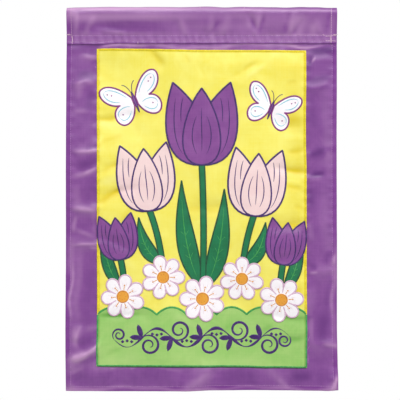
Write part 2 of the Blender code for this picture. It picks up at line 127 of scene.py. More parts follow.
FOLDS = folds(
    (-139, 58, 26, 4, 9, 1.4),
    (-138, 88, 30, 8, 9, 2.2),
    (-136, 170, 30, 3, 9, 1.8),
    (-137, 238, 34, 2, 9, 2.0),
    (-140, 281, 40, -4, 9, 1.6),
    (-146, 386, 20, 80, 9, 1.6),
    (-140, 411, 44, 27, 9, 3.2),
    (139, 60, 28, -6, 9, 1.6),
    (139, 93, 30, 10, 9, 2.0),
    (141, 172, 32, 14, 10, 1.6),
    (144, 311, 26, -10, 9, 1.4),
    (131, 352, 40, 84, 9, 1.4),
    (142, 399, 30, 8, 10, 1.8),
    (156, 446, 30, 62, 10, 3.0),
    (-7, 443, 50, 38, 13, 2.8),
    (-56, 62, 30, -58, 9, -1.8),
    (52, 76, 32, 30, 9, -1.6),
    (-100, 133, 50, 2, 10, -2.4),
    (-108, 190, 36, 6, 9, -1.4),
    (-100, 222, 52, 10, 10, -2.6),
    (-106, 282, 44, -30, 10, -2.4),
    (106, 140, 44, -3, 10, -1.6),
    (104, 194, 44, -4, 10, -2.4),
    (101, 259, 50, 10, 10, -2.6),
    (103, 297, 46, 14, 10, -1.8),
    (10, 236, 50, 1, 11, -2.2),
    (-88, 369, 60, 0, 10, -1.6),
    (96, 370, 70, -2, 10, -1.8),
)
Swell = namedtuple("Swell", "height across down phase")
SWELLS = (
    Swell(2.0, 260, 900, 0.6),
    Swell(1.2, 700, 210, 2.1),
    Swell(1.0, 150, 330, 4.0),
)

# %% The sharper creases
CREASES = folds(
    (-135, 57, 18, -6, 2.8, 0.5),
    (-142, 87.5, 12, 20, 2.2, 0.4),
    (-133, 87.8, 12, -16, 2.2, 0.35),
    (-141, 122, 18, -8, 3.0, 0.35),
    (-139, 169.5, 30, -5, 2.0, 0.75),
    (-131, 170.5, 14, -6, 1.6, 0.5),
    (-139, 195, 30, 14, 3.4, 0.6),
    (-135, 193, 14, 16, 2.0, 0.5),
    (-139, 239, 30, -4, 2.8, 0.8),
    (-150.5, 257, 18, 76, 2.4, 0.5),
    (-140, 268, 20, -24, 3.0, 0.4),
    (-139, 281.3, 28, -1, 1.3, 0.8),
    (-131, 286, 12, -8, 1.6, 0.45),
    (-151, 391, 24, 84, 3.4, 0.55),
    (-147, 385, 16, 70, 2.0, 0.4),
    (-148, 414.5, 16, 22, 4.2, 1.3),
    (-136, 408.5, 24, 25, 2.4, 1.1),
    (-130, 404.5, 12, 34, 1.6, 0.6),
    (-148, 431, 14, 30, 4.0, 0.35),
    (140, 58.5, 24, -3, 2.6, 0.3),
    (127.5, 60, 12, 72, 1.2, -0.9),
    (141, 91, 26, 11, 2.2, 0.25),
    (137, 172.5, 18, 18, 4.0, -0.6),
    (138, 197.5, 16, 4, 3.6, -0.6),
    (136, 203, 16, 4, 2.4, 0.35),
    (132.5, 313.5, 9, 12, 1.5, 0.6),
    (157, 300, 12, 88, 2.2, 0.5),
    (152, 400.5, 20, -10, 2.8, 0.6),
    (158.5, 448, 18, 72, 2.4, 1.3),
    (-5, 443, 38, 34, 8.0, 0.15),
    (3, 438, 20, 40, 3.0, 0.12),
    (90, 442, 28, -45, 5.0, 0.25),
    (98, 450, 16, -40, 3.0, 0.2),
    (-106, 431, 8, 30, 1.6, 0.4),
    (-82, 431, 9, 28, 1.6, 0.4),
    (-57, 60, 22, -42, 4.0, -0.45),
    (-20, 58, 12, -60, 3.0, -0.3),
    (64, 78, 24, 44, 3.5, 0.5),
    (54, 73, 14, 40, 3.0, -0.35),
    (108, 90, 12, 20, 3.0, -0.35),
    (-112, 134.5, 20, -8, 3.4, -0.55),
    (-84, 130, 50, 4, 4.0, -0.4),
    (-111, 192.5, 22, 27, 4.0, -0.5),
    (-108, 227, 30, 24, 4.0, -0.9),
    (-88, 220, 28, 8, 3.6, -0.6),
    (-89, 251, 22, 50, 4.0, -0.45),
    (-114, 309, 14, -10, 3.5, -0.45),
    (-71, 295, 16, -10, 4.0, -0.4),
    (-100, 297, 50, -42, 4.0, 0.45),
    (-107, 292, 40, -40, 3.5, -0.4),
    (112, 170, 20, 8, 3.4, -0.6),
    (102, 193, 42, 5, 4.4, -0.65),
    (112, 213, 20, -2, 3.4, -0.55),
    (117, 236, 12, 0, 3.0, -0.35),
    (103, 264, 40, 12, 4.2, -0.9),
    (104, 303, 38, 0, 4.6, -0.6),
    (108, 336, 30, 0, 4.4, -0.5),
    (3, 241, 40, -6, 4.0, -0.4),
    (-96, 369, 44, 1, 3.0, -0.7),
    (-109, 413, 18, 20, 4.0, -0.4),
    (92, 371, 18, 0, 3.0, -0.45),
    (78, 386, 14, 32, 4.0, -0.4),
    (104, 395, 40, 12, 4.0, -0.8),
    (-20, 372, 30, -30, 4.0, 0.4),
    (20, 388, 40, 20, 4.0, -0.35),
)
# Painted light and shade: where the cloth's colour is made paler, a painted highlight, or deeper, a painted
# shade, than its shape makes it look, with a painted shadow just below the sleeve's flap. Height is a tone
# here: paler above 0 and deeper below.
PAINTED_TONES = folds(
    (-131, 52, 12, 0, 3, -0.4),
    (-130, 63.5, 10, 0, 2.5, -0.4),
    (-138, 78, 20, 4, 5, -0.6),
    (-137, 84, 26, 0, 5, -0.25),
    (-132, 107, 26, 90, 6, -0.5),
    (-146, 97, 20, 90, 5, 0.25),
    (-130, 166, 18, 0, 3.5, -0.45),
    (-138, 184, 26, 6, 6, -0.6),
    (-133, 219, 28, 90, 7, -0.15),
    (-150, 238, 14, 0, 4, -0.25),
    (-147, 225, 30, 90, 5, 0.2),
    (-134, 256, 22, 20, 6, -0.15),
    (-128, 257, 28, 90, 3, 0.2),
    (-158, 293, 40, 90, 4, 0.3),
    (-133, 330, 60, 90, 9, -0.2),
    (-147, 330, 80, 90, 5, 0.25),
    (-154.5, 335, 64, 90, 1.8, 0.6),
    (-130, 381, 14, 0, 4, 0.25),
    (-137, 396, 20, 10, 6, -0.5),
    (-156, 417, 14, 10, 4, 0.4),
    (-137, 418, 18, 14, 3.5, -0.3),
    (-140, 440, 60, 0, 10, -0.35),
    (-157, 440, 34, 90, 7, 0.4),
    (-140, 452, 50, 0, 3, 0.35),
    (143, 50.0, 28, -3, 4.5, -1.3),
    (131, 59, 8, 50, 1.6, 0.6),
    (126.5, 60, 16, 90, 1.6, -0.5),
    (141, 57.5, 26, -3, 3, -0.4),
    (146, 66, 26, 0, 9, -0.2),
    (139, 92, 30, 6, 5, -0.35),
    (141, 83, 26, 6, 4.5, -0.7),
    (134, 105, 20, 90, 5, -0.35),
    (150, 150, 100, 90, 7, 0.15),
    (137, 130, 30, 90, 7, -0.4),
    (148, 167, 24, 0, 3.5, -0.3),
    (137, 172, 20, 20, 6, -0.6),
    (137, 197, 18, 10, 5, -0.5),
    (133, 224, 24, 90, 6, -0.6),
    (130, 263, 22, 90, 4, 0.22),
    (149, 260, 90, 90, 7, 0.15),
    (153, 340, 38, 90, 4, -0.3),
    (133, 306, 8, 0, 3, -0.5),
    (149, 296, 14, 70, 4, -0.4),
    (145, 380, 42, 80, 9, -0.7),
    (131, 382, 28, 90, 4, 0.35),
    (119, 438, 24, 10, 7, -0.8),
    (149, 441, 28, 0, 8, -0.35),
    (50, 452, 72, 0, 3.5, -0.3),
    (-40, 431, 36, 0, 2.5, 0.25),
    (2, 435, 36, 20, 4, -0.2),
    (-60, 443, 90, 0, 10, -0.3),
    (45, 443, 50, 0, 9, -0.45),
    (0, 45.9, 262, 0, 2.2, 0.5),
    (-94, 47.0, 50, 0, 1.6, 0.45),
    (118, 48.4, 34, 6, 1.8, -0.5),
    (122, 44.6, 44, 0, 1.6, 0.9),
    (-14, 47.8, 50, 0, 1.0, -0.3),
    (-140, 44.2, 64, 0, 1.2, -0.6),
    (-142, 48, 40, 0, 4.5, -0.25),
    (0, 454.5, 400, 0, 2.6, 0.45),
    (158, 345, 110, 90, 3.5, 0.45),
    (113, 180, 250, 90, 10, -0.25),
    (104, 70, 56, 0, 16, -0.25),
    (-110, 157, 26, 14, 3.5, -0.4),
    (-104, 141, 34, -4, 5, 0.4),
    (-100, 205, 40, 16, 6, 0.5),
    (-106, 274, 30, 12, 4, -0.4),
    (110, 133, 26, 4, 5, -0.5),
    (108, 152, 30, 0, 4, 0.35),
    (104, 206, 34, 0, 4, 0.35),
    (102, 280, 40, 6, 5, 0.4),
    (100, 338, 40, -4, 5, -0.6),
    (-104, 367.5, 40, 0, 2, -0.6),
    (104, 369, 50, 2, 2, -0.5),
    (-104, 425, 60, 12, 11, 0.4),
    (30, 426, 90, -6, 8, 0.3),
)
CREST_SHARE = 0.28
CREST_SPREAD = 0.36


def fold_shape(fold, x, z, crest=0.0):
    """One fold's height at each spot. crest is the share that stands up in a narrow line on its top."""
    dx = x - fold.across * MM
    dz = z - drop_z(fold.drop * MM)
    angle = math.radians(fold.slant)
    along = (dx * math.cos(angle) + dz * math.sin(angle)) / (fold.run * MM)
    away = (dz * math.cos(angle) - dx * math.sin(angle)) / (fold.spread * MM)
    shape = (1 - crest) * bell(away, 1) + crest * bell(away, CREST_SPREAD)
    return fold.height * MM * np.exp(-((2 * along) ** 4)) * shape


def fold_heap(rows, x, z, crest=0.0):
    """The height at each spot that several folds add up to."""
    return sum(fold_shape(fold, x, z, crest) for fold in rows)


print(len(FOLDS), "broad folds and", len(CREASES), "creases")

# %% [markdown]
# Between the folds the nylon is never quite flat, and that is what mottles its sheen. A noise texture
# in the material could fake it. Real bumps in the mesh also show in the outline and in the export, so
# a sum of small waves is used, from a seeded generator that gives the same waves each run.

# %% The small waves and the puckers beside the seams
WAVES = 30
SHORTEST_WAVE = 15 * MM
LONGEST_WAVE = 62 * MM
WAVE_SLOPE = 0.0105
draw = np.random.default_rng(11)
wave_length = draw.uniform(SHORTEST_WAVE, LONGEST_WAVE, WAVES)
wave_angle = draw.uniform(0, math.pi, WAVES)
wave_phase = draw.uniform(0, 2 * math.pi, WAVES)


def small_waves(x, z):
    total = np.zeros_like(x)
    for length, angle, phase in zip(wave_length, wave_angle, wave_phase):
        turns = (x * math.cos(angle) + z * math.sin(angle)) / length
        total += WAVE_SLOPE * length / (2 * math.pi) * np.sin(2 * math.pi * turns + phase)
    return total


# A seam runs up ("z") or across ("x") at a place, between two ends, and gathers the cloth beside it. Its
# height and pitch are in millimetres. Two waves, one of them in the seam's own phase, make the pitch uneven.
Seam = namedtuple("Seam", "runs at start end height pitch phase")
SEAMS = (
    Seam("z", -HALF + HEM, FOOT, TOP, 0.26, 12.5, 0.0),
    Seam("z", HALF - HEM, FOOT, TOP, 0.26, 11.5, 2.0),
    Seam("x", FOOT + HEM, -HALF, HALF, 0.28, 13.0, 1.0),
    Seam("z", PANEL_LEFT, rise_z(0), drop_z(PANEL_TOP_DROP), 0.34, 14.0, 0.5),
    Seam("z", PANEL_RIGHT, rise_z(0), drop_z(PANEL_TOP_DROP), 0.36, 13.0, 1.7),
    Seam("x", drop_z(PANEL_TOP_DROP), PANEL_LEFT, PANEL_RIGHT, 0.34, 15.0, 0.2),
    Seam("x", rise_z(0), PANEL_LEFT, PANEL_RIGHT, 0.30, 14.0, 2.6),
)
SEAM_REACH = 5.5 * MM
SLOW_WAVER = (1.6, 31)
QUICK_WAVER = (0.9, 17, 0)


def seam_pucker(seam, x, z):
    along, away = (z, x - seam.at) if seam.runs == "z" else (x, z - seam.at)
    held = span(along, seam.start - SEAM_REACH, seam.start, seam.end, seam.end + SEAM_REACH)
    uneven = waver(along, ((*SLOW_WAVER, seam.phase), QUICK_WAVER))
    gather = np.sin(2 * math.pi * along / (seam.pitch * MM) + uneven)
    return seam.height * MM * held * bell(away, SEAM_REACH) * gather


# %% Hanging a flat piece
# All in millimetres. First how far the flag's left and right edges stand outside two ruled lines, as drop,
# left and right, then the same for the panel.
EDGES = np.array(
    (
        (0, -1.4, -1.2),
        (30, -1.2, -0.9),
        (65, -0.7, -0.6),
        (158, -0.4, -0.9),
        (385, 0.4, -0.6),
        (457, 0.0, 0.6),
    )
)
PANEL_EDGES = np.array(
    (
        (43, 0.0, 0.0),
        (50, -0.2, -0.75),
        (84, -0.3, -0.8),
        (127, -0.2, -1.15),
        (165, -0.8, -0.95),
        (191, -0.65, -0.15),
        (234, -0.7, -0.3),
        (299, -0.45, -0.25),
        (350, -0.75, -0.1),
        (385, -0.4, 0.55),
        (406, 0.0, 0.1),
    )
)
# How far the panel's head and foot hang below two ruled lines, as across, head and foot.
PANEL_LINES = np.array(
    (
        (-150, 0.0, 0.0),
        (-125, 0.2, -0.4),
        (-108, -0.15, -0.4),
        (-60, -0.1, -0.5),
        (-40, 0.3, -0.5),
        (-10, 0.8, -0.45),
        (25, 0.8, -0.5),
        (58, 0.7, -0.1),
        (72, 0.55, 0.4),
        (90, 0.75, 0.0),
        (125, 0.7, 0.1),
        (150, 0.0, 0.0),
    )
)
# How far the flag's lower edge hangs below a ruled line, as across and fall.
HEMLINE = np.array(((-162, 0.4), (-60, 0.7), (-14, 0.6), (10, -0.2), (150, -0.3), (162, -1.0)))
# Between which distances from the middle, or drops, each of these fades in, and for two of them out again.
PANEL_SPAN = (98, 120)
OUTER_SPAN = (126, 156)
HEAD_SPAN = (43.5, 49, 56, 80)
FOOT_SPAN = (404, 425, 432, 446)
HEMLINE_SPAN = (430, 452)
# The same for the folds, which the sleeve holds flat at the top.
BROAD_SPAN = (43, 75)
FINE_SPAN = (36, 52)
# The waves that bend the folds across, and those that bend them down, of which the last runs aslant.
BEND_ACROSS = ((2.2, 19, 1), (0.9, 7, 0))
BEND_DOWN = ((2.4, 23, 2),)
BEND_ASLANT = ((0.9, 8, 0),)
ASLANT = 8 / 31
# How much painted light goes with a fold's height and with a crease's: a painted highlight on a crest and
# painted shade in a dip.
FOLD_PAINTED_LIGHT = 0.12
CREASE_PAINTED_LIGHT = 0.85


def wander(x, z):
    """Bends straight folds, since no fold in nylon is ruled."""
    down = waver(x, BEND_DOWN) + waver(x + ASLANT * z, BEND_ASLANT)
    return x + MM * waver(z, BEND_ACROSS), z + MM * down


def hang(x, z):
    """How far the flag's middle surface stands forward at each spot."""
    bent = wander(x, z)
    broad = fold_heap(FOLDS, *bent, CREST_SHARE)
    for swell in SWELLS:
        turns = (x / swell.across + z / swell.down) / MM
        broad += swell.height * MM * np.sin(2 * math.pi * turns + swell.phase)
    fine = small_waves(x, z) + fold_heap(CREASES, *bent)
    fine += sum(seam_pucker(seam, x, z) for seam in SEAMS)
    drop = (TOP - z) / MM
    return broad * ease(*BROAD_SPAN, drop) + fine * ease(*FINE_SPAN, drop)


def painted_light(x, z):
    """The painted light at each spot: a painted highlight above 0, on the crest of a crease, and painted
    shade below 0, in its dip, plus the painted tones.
    """
    bent = wander(x, z)
    painted_level = FOLD_PAINTED_LIGHT * fold_heap(FOLDS, *bent, CREST_SHARE) + CREASE_PAINTED_LIGHT * fold_heap(CREASES, *bent)
    return np.clip((painted_level + fold_heap(PAINTED_TONES, *bent)) / MM, -1, 1)


def read_off(table, value):
    """What a table's other columns say where its first one has a value."""
    return [np.interp(value, table[:, 0], column) for column in table[:, 1:].T]


def settle(x, z):
    """The hemmed edges and the panel's edges wander a little from ruled rectangles."""
    across, drop = x / MM, (TOP - z) / MM
    shift = np.zeros_like(x)
    for table, reach in ((PANEL_EDGES, PANEL_SPAN), (EDGES, OUTER_SPAN)):
        left, right = read_off(table, drop)
        shift += (np.where(x < 0, -left, right) - shift) * ease(*reach, np.abs(across))
    head, foot = read_off(PANEL_LINES, across)
    fall = read_off(HEMLINE, across)[0] * ease(*HEMLINE_SPAN, drop)
    fall += head * span(drop, *HEAD_SPAN) + foot * span(drop, *FOOT_SPAN)
    return x + shift * MM, z - fall * MM


def hang_up(flat):
    """Takes spots from the sewing table, where a layer's height is -y, to the hanging flag."""
    x, y, z = flat.T
    new_x, new_z = settle(x, z)
    return np.column_stack([new_x, y - hang(x, z), new_z])


spots = np.array([[0.0, 0.0, drop_z(0.2)], [-0.14, 0.0, drop_z(0.411)]])
print("the cloth stands forward by", (-hang_up(spots)[:, 1] / MM).round(2), "mm at two spots")

# %% [markdown]
# ## Materials
# Flag nylon is a tight plain weave with a soft gloss, and embroidery thread is rayon that shines across
# its twist. Photographs of cloth would tile and carry their own light. Node groups make the weave, the
# mottle and the twist instead, once, and each material gives them its own colours.

# %% Helpers for node trees
def linear(rgb):
    """A screen colour, from 0 to 255, as a material takes it."""
    share = np.array(rgb) / 255
    return (*np.where(share <= 0.04045, share / 12.92, ((share + 0.055) / 1.055) ** 2.4), 1)


def feed(tree, node, inputs):
    """Links a node's inputs to sockets, or sets them to numbers or colours."""
    for name, value in inputs.items():
        if isinstance(value, bpy.types.NodeSocket):
            tree.links.new(value, node.inputs[name])
        else:
            node.inputs[name].default_value = value


def add_node(tree, kind, inputs=None, **values):
    node = tree.nodes.new(kind)
    for name, value in values.items():
        setattr(node, name, value)
    feed(tree, node, inputs or {})
    return node


def math_node(tree, operation, *values):
    return add_node(tree, "ShaderNodeMath", dict(enumerate(values)), operation=operation).outputs[0]


def wave_node(tree, run, pitch):
    """A wave along a run, with a pitch from crest to crest."""
    turn = math_node(tree, "DIVIDE", 2 * math.pi, pitch)
    return math_node(tree, "SINE", math_node(tree, "MULTIPLY", run, turn))


def rescale(tree, value, old=(0, 1), new=(0, 1), **values):
    """Takes a value from an old range to a new one."""
    inputs = {"Value": value, "From Min": old[0], "From Max": old[1], "To Min": new[0], "To Max": new[1]}
    return add_node(tree, "ShaderNodeMapRange", inputs, **values).outputs[0]


def mix_colours(tree, factor, first, second, clamp=True):
    """Mixes two colours. Without the clamp, a factor above 1 goes on past the second one."""
    inputs = {0: factor, 6: first, 7: second}
    return add_node(tree, "ShaderNodeMix", inputs, data_type="RGBA", clamp_factor=clamp).outputs[2]


def attribute_node(tree, name):
    return add_node(tree, "ShaderNodeAttribute", attribute_name=name).outputs["Fac"]


def group_node(tree, group, **inputs):
    return add_node(tree, "ShaderNodeGroup", inputs, node_tree=group).outputs[0]


def new_group(name, output, **inputs):
    """An empty node group whose output is a number, its inputs as sockets, and its end node."""
    tree = bpy.data.node_groups.new(name, "ShaderNodeTree")
    for label, kind in inputs.items():
        tree.interface.new_socket(label, in_out="INPUT", socket_type=f"NodeSocket{kind}")
    tree.interface.new_socket(output, in_out="OUTPUT", socket_type="NodeSocketFloat")
    return tree, add_node(tree, "NodeGroupInput").outputs, add_node(tree, "NodeGroupOutput")


# %% The weave, yarn, mottle and twist groups
YARN_WIDTH = 1.3 * MM
YARN_RUN = 45 * MM
YARN_RANGE = (0.75, 1.25)
MOTTLE_RANGE = (0.3, 0.7)
MOTTLE_NOISE = {"Detail": 3, "Roughness": 0.55, "Distortion": 0.6}


def make_weave_group():
    """Threads that cross over and under each other."""
    tree, start, end = new_group("plain weave", "Height", Vector="Vector", Pitch="Float")
    parts = add_node(tree, "ShaderNodeSeparateXYZ", {0: start["Vector"]}).outputs
    warp, weft = (wave_node(tree, parts[axis], start["Pitch"]) for axis in "XZ")
    crossing = math_node(tree, "MULTIPLY", warp, weft)
    feed(tree, end, {"Height": math_node(tree, "MULTIPLY_ADD", crossing, 0.5, 0.5)})
    return tree


def make_yarn_group():
    """Yarns that are thick and thin by turns, up and down and across the cloth."""
    tree, start, end = new_group("uneven yarns", "Mask", Vector="Vector")
    total = 0.0
    for stretch in ((1 / YARN_WIDTH, 1, 1 / YARN_RUN), (1 / YARN_RUN, 1, 1 / YARN_WIDTH)):
        inputs = {0: start["Vector"], 1: stretch}
        stretched = add_node(tree, "ShaderNodeVectorMath", inputs, operation="MULTIPLY").outputs[0]
        noise = add_node(tree, "ShaderNodeTexNoise", {"Vector": stretched, "Scale": 1, "Detail": 2})
        total = math_node(tree, "ADD", noise.outputs[0], total)
    feed(tree, end, {"Mask": rescale(tree, total, YARN_RANGE)})
    return tree


def make_mottle_group():
    """Soft patches."""
    tree, start, end = new_group("mottle", "Mask", Vector="Vector", Size="Float")
    scale = math_node(tree, "DIVIDE", 1.0, start["Size"])
    inputs = {"Vector": start["Vector"], "Scale": scale, **MOTTLE_NOISE}
    noise = add_node(tree, "ShaderNodeTexNoise", inputs).outputs[0]
    feed(tree, end, {"Mask": rescale(tree, noise, MOTTLE_RANGE, interpolation_type="SMOOTHSTEP")})
    return tree


def make_twist_group():
    """The strands of a thread, along its run."""
    tree, start, end = new_group("thread twist", "Height", Run="Float", Pitch="Float")
    feed(tree, end, {"Height": wave_node(tree, start["Run"], start["Pitch"])})
    return tree


weave_group = make_weave_group()
yarn_group = make_yarn_group()
mottle_group = make_mottle_group()
twist_group = make_twist_group()
print("node groups:", [tree.name for tree in bpy.data.node_groups])

# %% The nylon and thread materials
WEAVE_PITCH = 0.45 * MM
WEAVE_DEPTH = 0.03 * MM
MOTTLE_SIZES = (16 * MM, 48 * MM)
YARN_SHARE = 0.28
NYLON_GLOSS = 0.5
DOUBLED_GLOSS = 0.2
GLOSS_SPREAD = 0.05
THREAD_PITCH = 0.7 * MM
THREAD_DEPTH = 0.04 * MM
THREAD_MOTTLE = 3 * MM
THREAD_ROUGHNESS = (0.42, 0.32)
BUMP_STRENGTH = 0.5


def new_material(name):
    """A material, its tree and shader, and the place on the object as a socket."""
    material = bpy.data.materials.new(name)
    material.use_nodes = True
    tree = material.node_tree
    at = add_node(tree, "ShaderNodeTexCoord").outputs["Object"]
    return material, tree, tree.nodes["Principled BSDF"], at


def bumpy(tree, height, distance):
    inputs = {"Strength": BUMP_STRENGTH, "Distance": distance, "Height": height}
    return add_node(tree, "ShaderNodeBump", inputs).outputs[0]


def nylon(name, shade, light, doubled_or_groove_shade=None, deep=None, pale=None, gloss=0.40, sheen=(255, 250, 250)):
    """Cloth that wanders between two tones, takes a third one on hems, where it lies twice, and in the
    panel's stitched groove, where that tone is painted shade, and takes a painted highlight or painted shade
    along its creases, as an attribute says."""
    material, tree, shader, at = new_material(name)
    masks = [group_node(tree, mottle_group, Vector=at, Size=size) for size in MOTTLE_SIZES]
    mottle = math_node(tree, "MULTIPLY", math_node(tree, "ADD", *masks), 1 / len(masks))
    yarns = group_node(tree, yarn_group, Vector=at)
    tone = add_node(tree, "ShaderNodeMix", {0: YARN_SHARE, 2: mottle, 3: yarns}).outputs[0]
    ply_or_groove_shade, painted_level = attribute_node(tree, "ply_or_groove_shade"), attribute_node(tree, "painted_light")
    colour = mix_colours(tree, tone, linear(shade), linear(light))
    colour = mix_colours(tree, ply_or_groove_shade, colour, linear(doubled_or_groove_shade or shade))
    # Painted light: a painted highlight on crests and painted shade in dips.
    crest = math_node(tree, "MAXIMUM", painted_level, 0.0)
    colour = mix_colours(tree, crest, colour, linear(pale or light), clamp=False)
    painted_shade = math_node(tree, "MAXIMUM", math_node(tree, "MULTIPLY", painted_level, -1.0), 0.0)
    pressed = math_node(tree, "MULTIPLY", ply_or_groove_shade, DOUBLED_GLOSS - NYLON_GLOSS)
    weave = group_node(tree, weave_group, Vector=at, Pitch=WEAVE_PITCH)
    looks = {
        "Base Color": mix_colours(tree, painted_shade, colour, linear(deep or shade)),
        "Roughness": rescale(tree, mottle, new=(gloss + GLOSS_SPREAD, gloss - GLOSS_SPREAD)),
        "Specular IOR Level": math_node(tree, "ADD", pressed, NYLON_GLOSS),
        "Sheen Weight": 0.18,
        "Sheen Roughness": 0.4,
        "Sheen Tint": linear(sheen),
        "Normal": bumpy(tree, weave, WEAVE_DEPTH),
    }
    feed(tree, shader, looks)
    return material


def thread(name, colour, deep):
    """Shiny thread whose strands lie across the line that it sews."""
    material, tree, shader, at = new_material(name)
    strands = group_node(tree, twist_group, Run=attribute_node(tree, "run"), Pitch=THREAD_PITCH / 2)
    mottle = group_node(tree, mottle_group, Vector=at, Size=THREAD_MOTTLE)
    looks = {
        "Base Color": mix_colours(tree, mottle, linear(deep), linear(colour)),
        "Roughness": rescale(tree, mottle, new=THREAD_ROUGHNESS),
        "Sheen Weight": 0.15,
        "Normal": bumpy(tree, strands, THREAD_DEPTH),
    }
    feed(tree, shader, looks)
    return material


NYLONS = {
    "purple_nylon": dict(shade=(120, 62, 139), light=(144, 87, 159), gloss=0.34, sheen=(255, 226, 250)),
    "yellow_nylon": dict(shade=(243, 229, 80), light=(249, 241, 122), sheen=(255, 250, 220)),
    "green_nylon": dict(shade=(142, 198, 98), light=(172, 210, 122), sheen=(240, 255, 225)),
    "pink_nylon": dict(shade=(236, 204, 204), light=(244, 218, 216), gloss=0.68),
    "violet_nylon": dict(shade=(122, 62, 138), light=(144, 84, 156)),
    "white_nylon": dict(shade=(249, 242, 247), light=(255, 252, 255), gloss=0.55),
    "leaf_nylon": dict(shade=(4, 104, 60), light=(14, 130, 82), gloss=0.52),
    "gold_nylon": dict(shade=(228, 150, 46), light=(240, 176, 64), gloss=0.42),
}
# Per cloth: the hem's tone, or for the panel's groove a painted shade, then deep, a painted shade for dips,
# and pale, a painted highlight for crests.
HEM_AND_PAINTED_LIGHT_COLOURS = {
    "purple_nylon": dict(doubled_or_groove_shade=(127, 67, 145), deep=(98, 42, 122), pale=(192, 146, 194)),
    "yellow_nylon": dict(doubled_or_groove_shade=(218, 198, 8), deep=(228, 204, 30), pale=(250, 244, 150)),
    "green_nylon": dict(doubled_or_groove_shade=(120, 172, 78), deep=(104, 168, 66), pale=(188, 218, 138)),
}
THREADS = {
    "lilac_thread": ((190, 146, 198), (158, 110, 170)),
    "yellow_thread": ((250, 232, 22), (230, 206, 8)),
    "green_thread": ((70, 172, 84), (46, 144, 68)),
    "dark_green_thread": ((14, 88, 56), (6, 64, 40)),
    "violet_thread": ((74, 36, 118), (50, 20, 90)),
    "magenta_thread": ((150, 48, 138), (116, 32, 108)),
    "pink_thread": ((230, 196, 218), (206, 166, 194)),
    "aqua_thread": ((140, 216, 228), (104, 192, 210)),
    "gold_thread": ((234, 160, 58), (206, 126, 36)),
}
MATERIALS = {name: nylon(name, **tones, **HEM_AND_PAINTED_LIGHT_COLOURS.get(name, {})) for name, tones in NYLONS.items()}
MATERIALS.update({name: thread(name, *tones) for name, tones in THREADS.items()})

# %% [markdown]
# ## Cutting, thickening and hanging cloth
# A tailor cuts an outline, and so does this: the outline is one flat face, and bisect_plane slices it
# into small cells, because only corners can bend. A Boolean on a grid would do the same but is slower
# and leaves slivers. The face is then extruded into a closed sheet of nylon.

# %% Helpers for cloth
CUT_TOLERANCE = 1e-7
# The least that a length or its square is divided by.
TINY = 1e-14
CLOTH_THICKNESS = 0.45 * MM
PATCH_THICKNESS = 0.16 * MM
PATCH_PUFF = 0.14 * MM
PUFF_REACH = 2.6 * MM


def slice_flat(mesh, point, normal):
    """Cuts all faces of a flat piece along a line."""
    bmesh.ops.bisect_plane(
        mesh,
        geom=mesh.verts[:] + mesh.edges[:] + mesh.faces[:],
        dist=CUT_TOLERANCE,
        plane_co=(point[0], 0, point[1]),
        plane_no=(normal[0], 0, normal[1]),
    )


def slice_up(mesh, *places):
    """Cuts a flat piece along upright lines."""
    for x in places:
        slice_flat(mesh, (x, 0), (1, 0))


def slice_across(mesh, *places):
    """Cuts a flat piece along level lines."""
    for z in places:
        slice_flat(mesh, (0, z), (0, 1))


def cut_outline(outline):
    """A flat piece of cloth inside an outline, made of small cells."""
    mesh = bmesh.new()
    mesh.faces.new([mesh.verts.new((x, 0, z)) for x, z in outline])
    low, high = outline.min(0), outline.max(0)
    slice_up(mesh, *np.arange(low[0] + CELL, high[0], CELL))
    slice_across(mesh, *np.arange(low[1] + CELL, high[1], CELL))
    return mesh


def cut_grid(low, high, cell=CELL):
    """A flat rectangle of cells between two (x, z) corners."""
    mesh = bmesh.new()
    across, up = high[0] - low[0], high[1] - low[1]
    counts = [max(1, round(size / cell)) for size in (across, up)]
    bmesh.ops.create_grid(mesh, x_segments=counts[0], y_segments=counts[1], size=0.5)
    for vert in mesh.verts:
        vert.co = (low[0] + (vert.co.x + 0.5) * across, 0, low[1] + (vert.co.y + 0.5) * up)
    return mesh


def give_body(mesh, level, thickness):
    """Lifts a flat piece so that its face is at a level, and gives it a back. Returns the back's corners."""
    bmesh.ops.translate(mesh, verts=mesh.verts[:], vec=(0, -level, 0))
    made = bmesh.ops.extrude_face_region(mesh, geom=mesh.faces[:])
    rear = [part for part in made["geom"] if isinstance(part, bmesh.types.BMVert)]
    bmesh.ops.translate(mesh, verts=rear, vec=(0, thickness, 0))
    bmesh.ops.triangulate(mesh, faces=[face for face in mesh.faces if len(face.verts) > 4])
    bmesh.ops.recalc_face_normals(mesh, faces=mesh.faces[:])
    return rear


def distance_to(outline, spots):
    """How far each spot is from the nearest side of an outline."""
    ends = np.roll(outline, -1, axis=0)
    sides = ends - outline
    reach = spots[:, None] - outline
    share = np.clip((reach * sides).sum(2) / np.maximum((sides**2).sum(1), TINY), 0, 1)
    return np.linalg.norm(reach - share[:, :, None] * sides, axis=2).min(1)


def to_data(name, mesh):
    """Ends a bmesh and keeps its shape as mesh data."""
    data = bpy.data.meshes.new(name)
    mesh.to_mesh(data)
    mesh.free()
    return data


def show(name, data):
    """Puts data into the scene as an object."""
    placed = bpy.data.objects.new(name, data)
    bpy.context.scene.collection.objects.link(placed)
    return placed


def cloth_painted_light(flat):
    return painted_light(flat[:, 0], flat[:, 2])


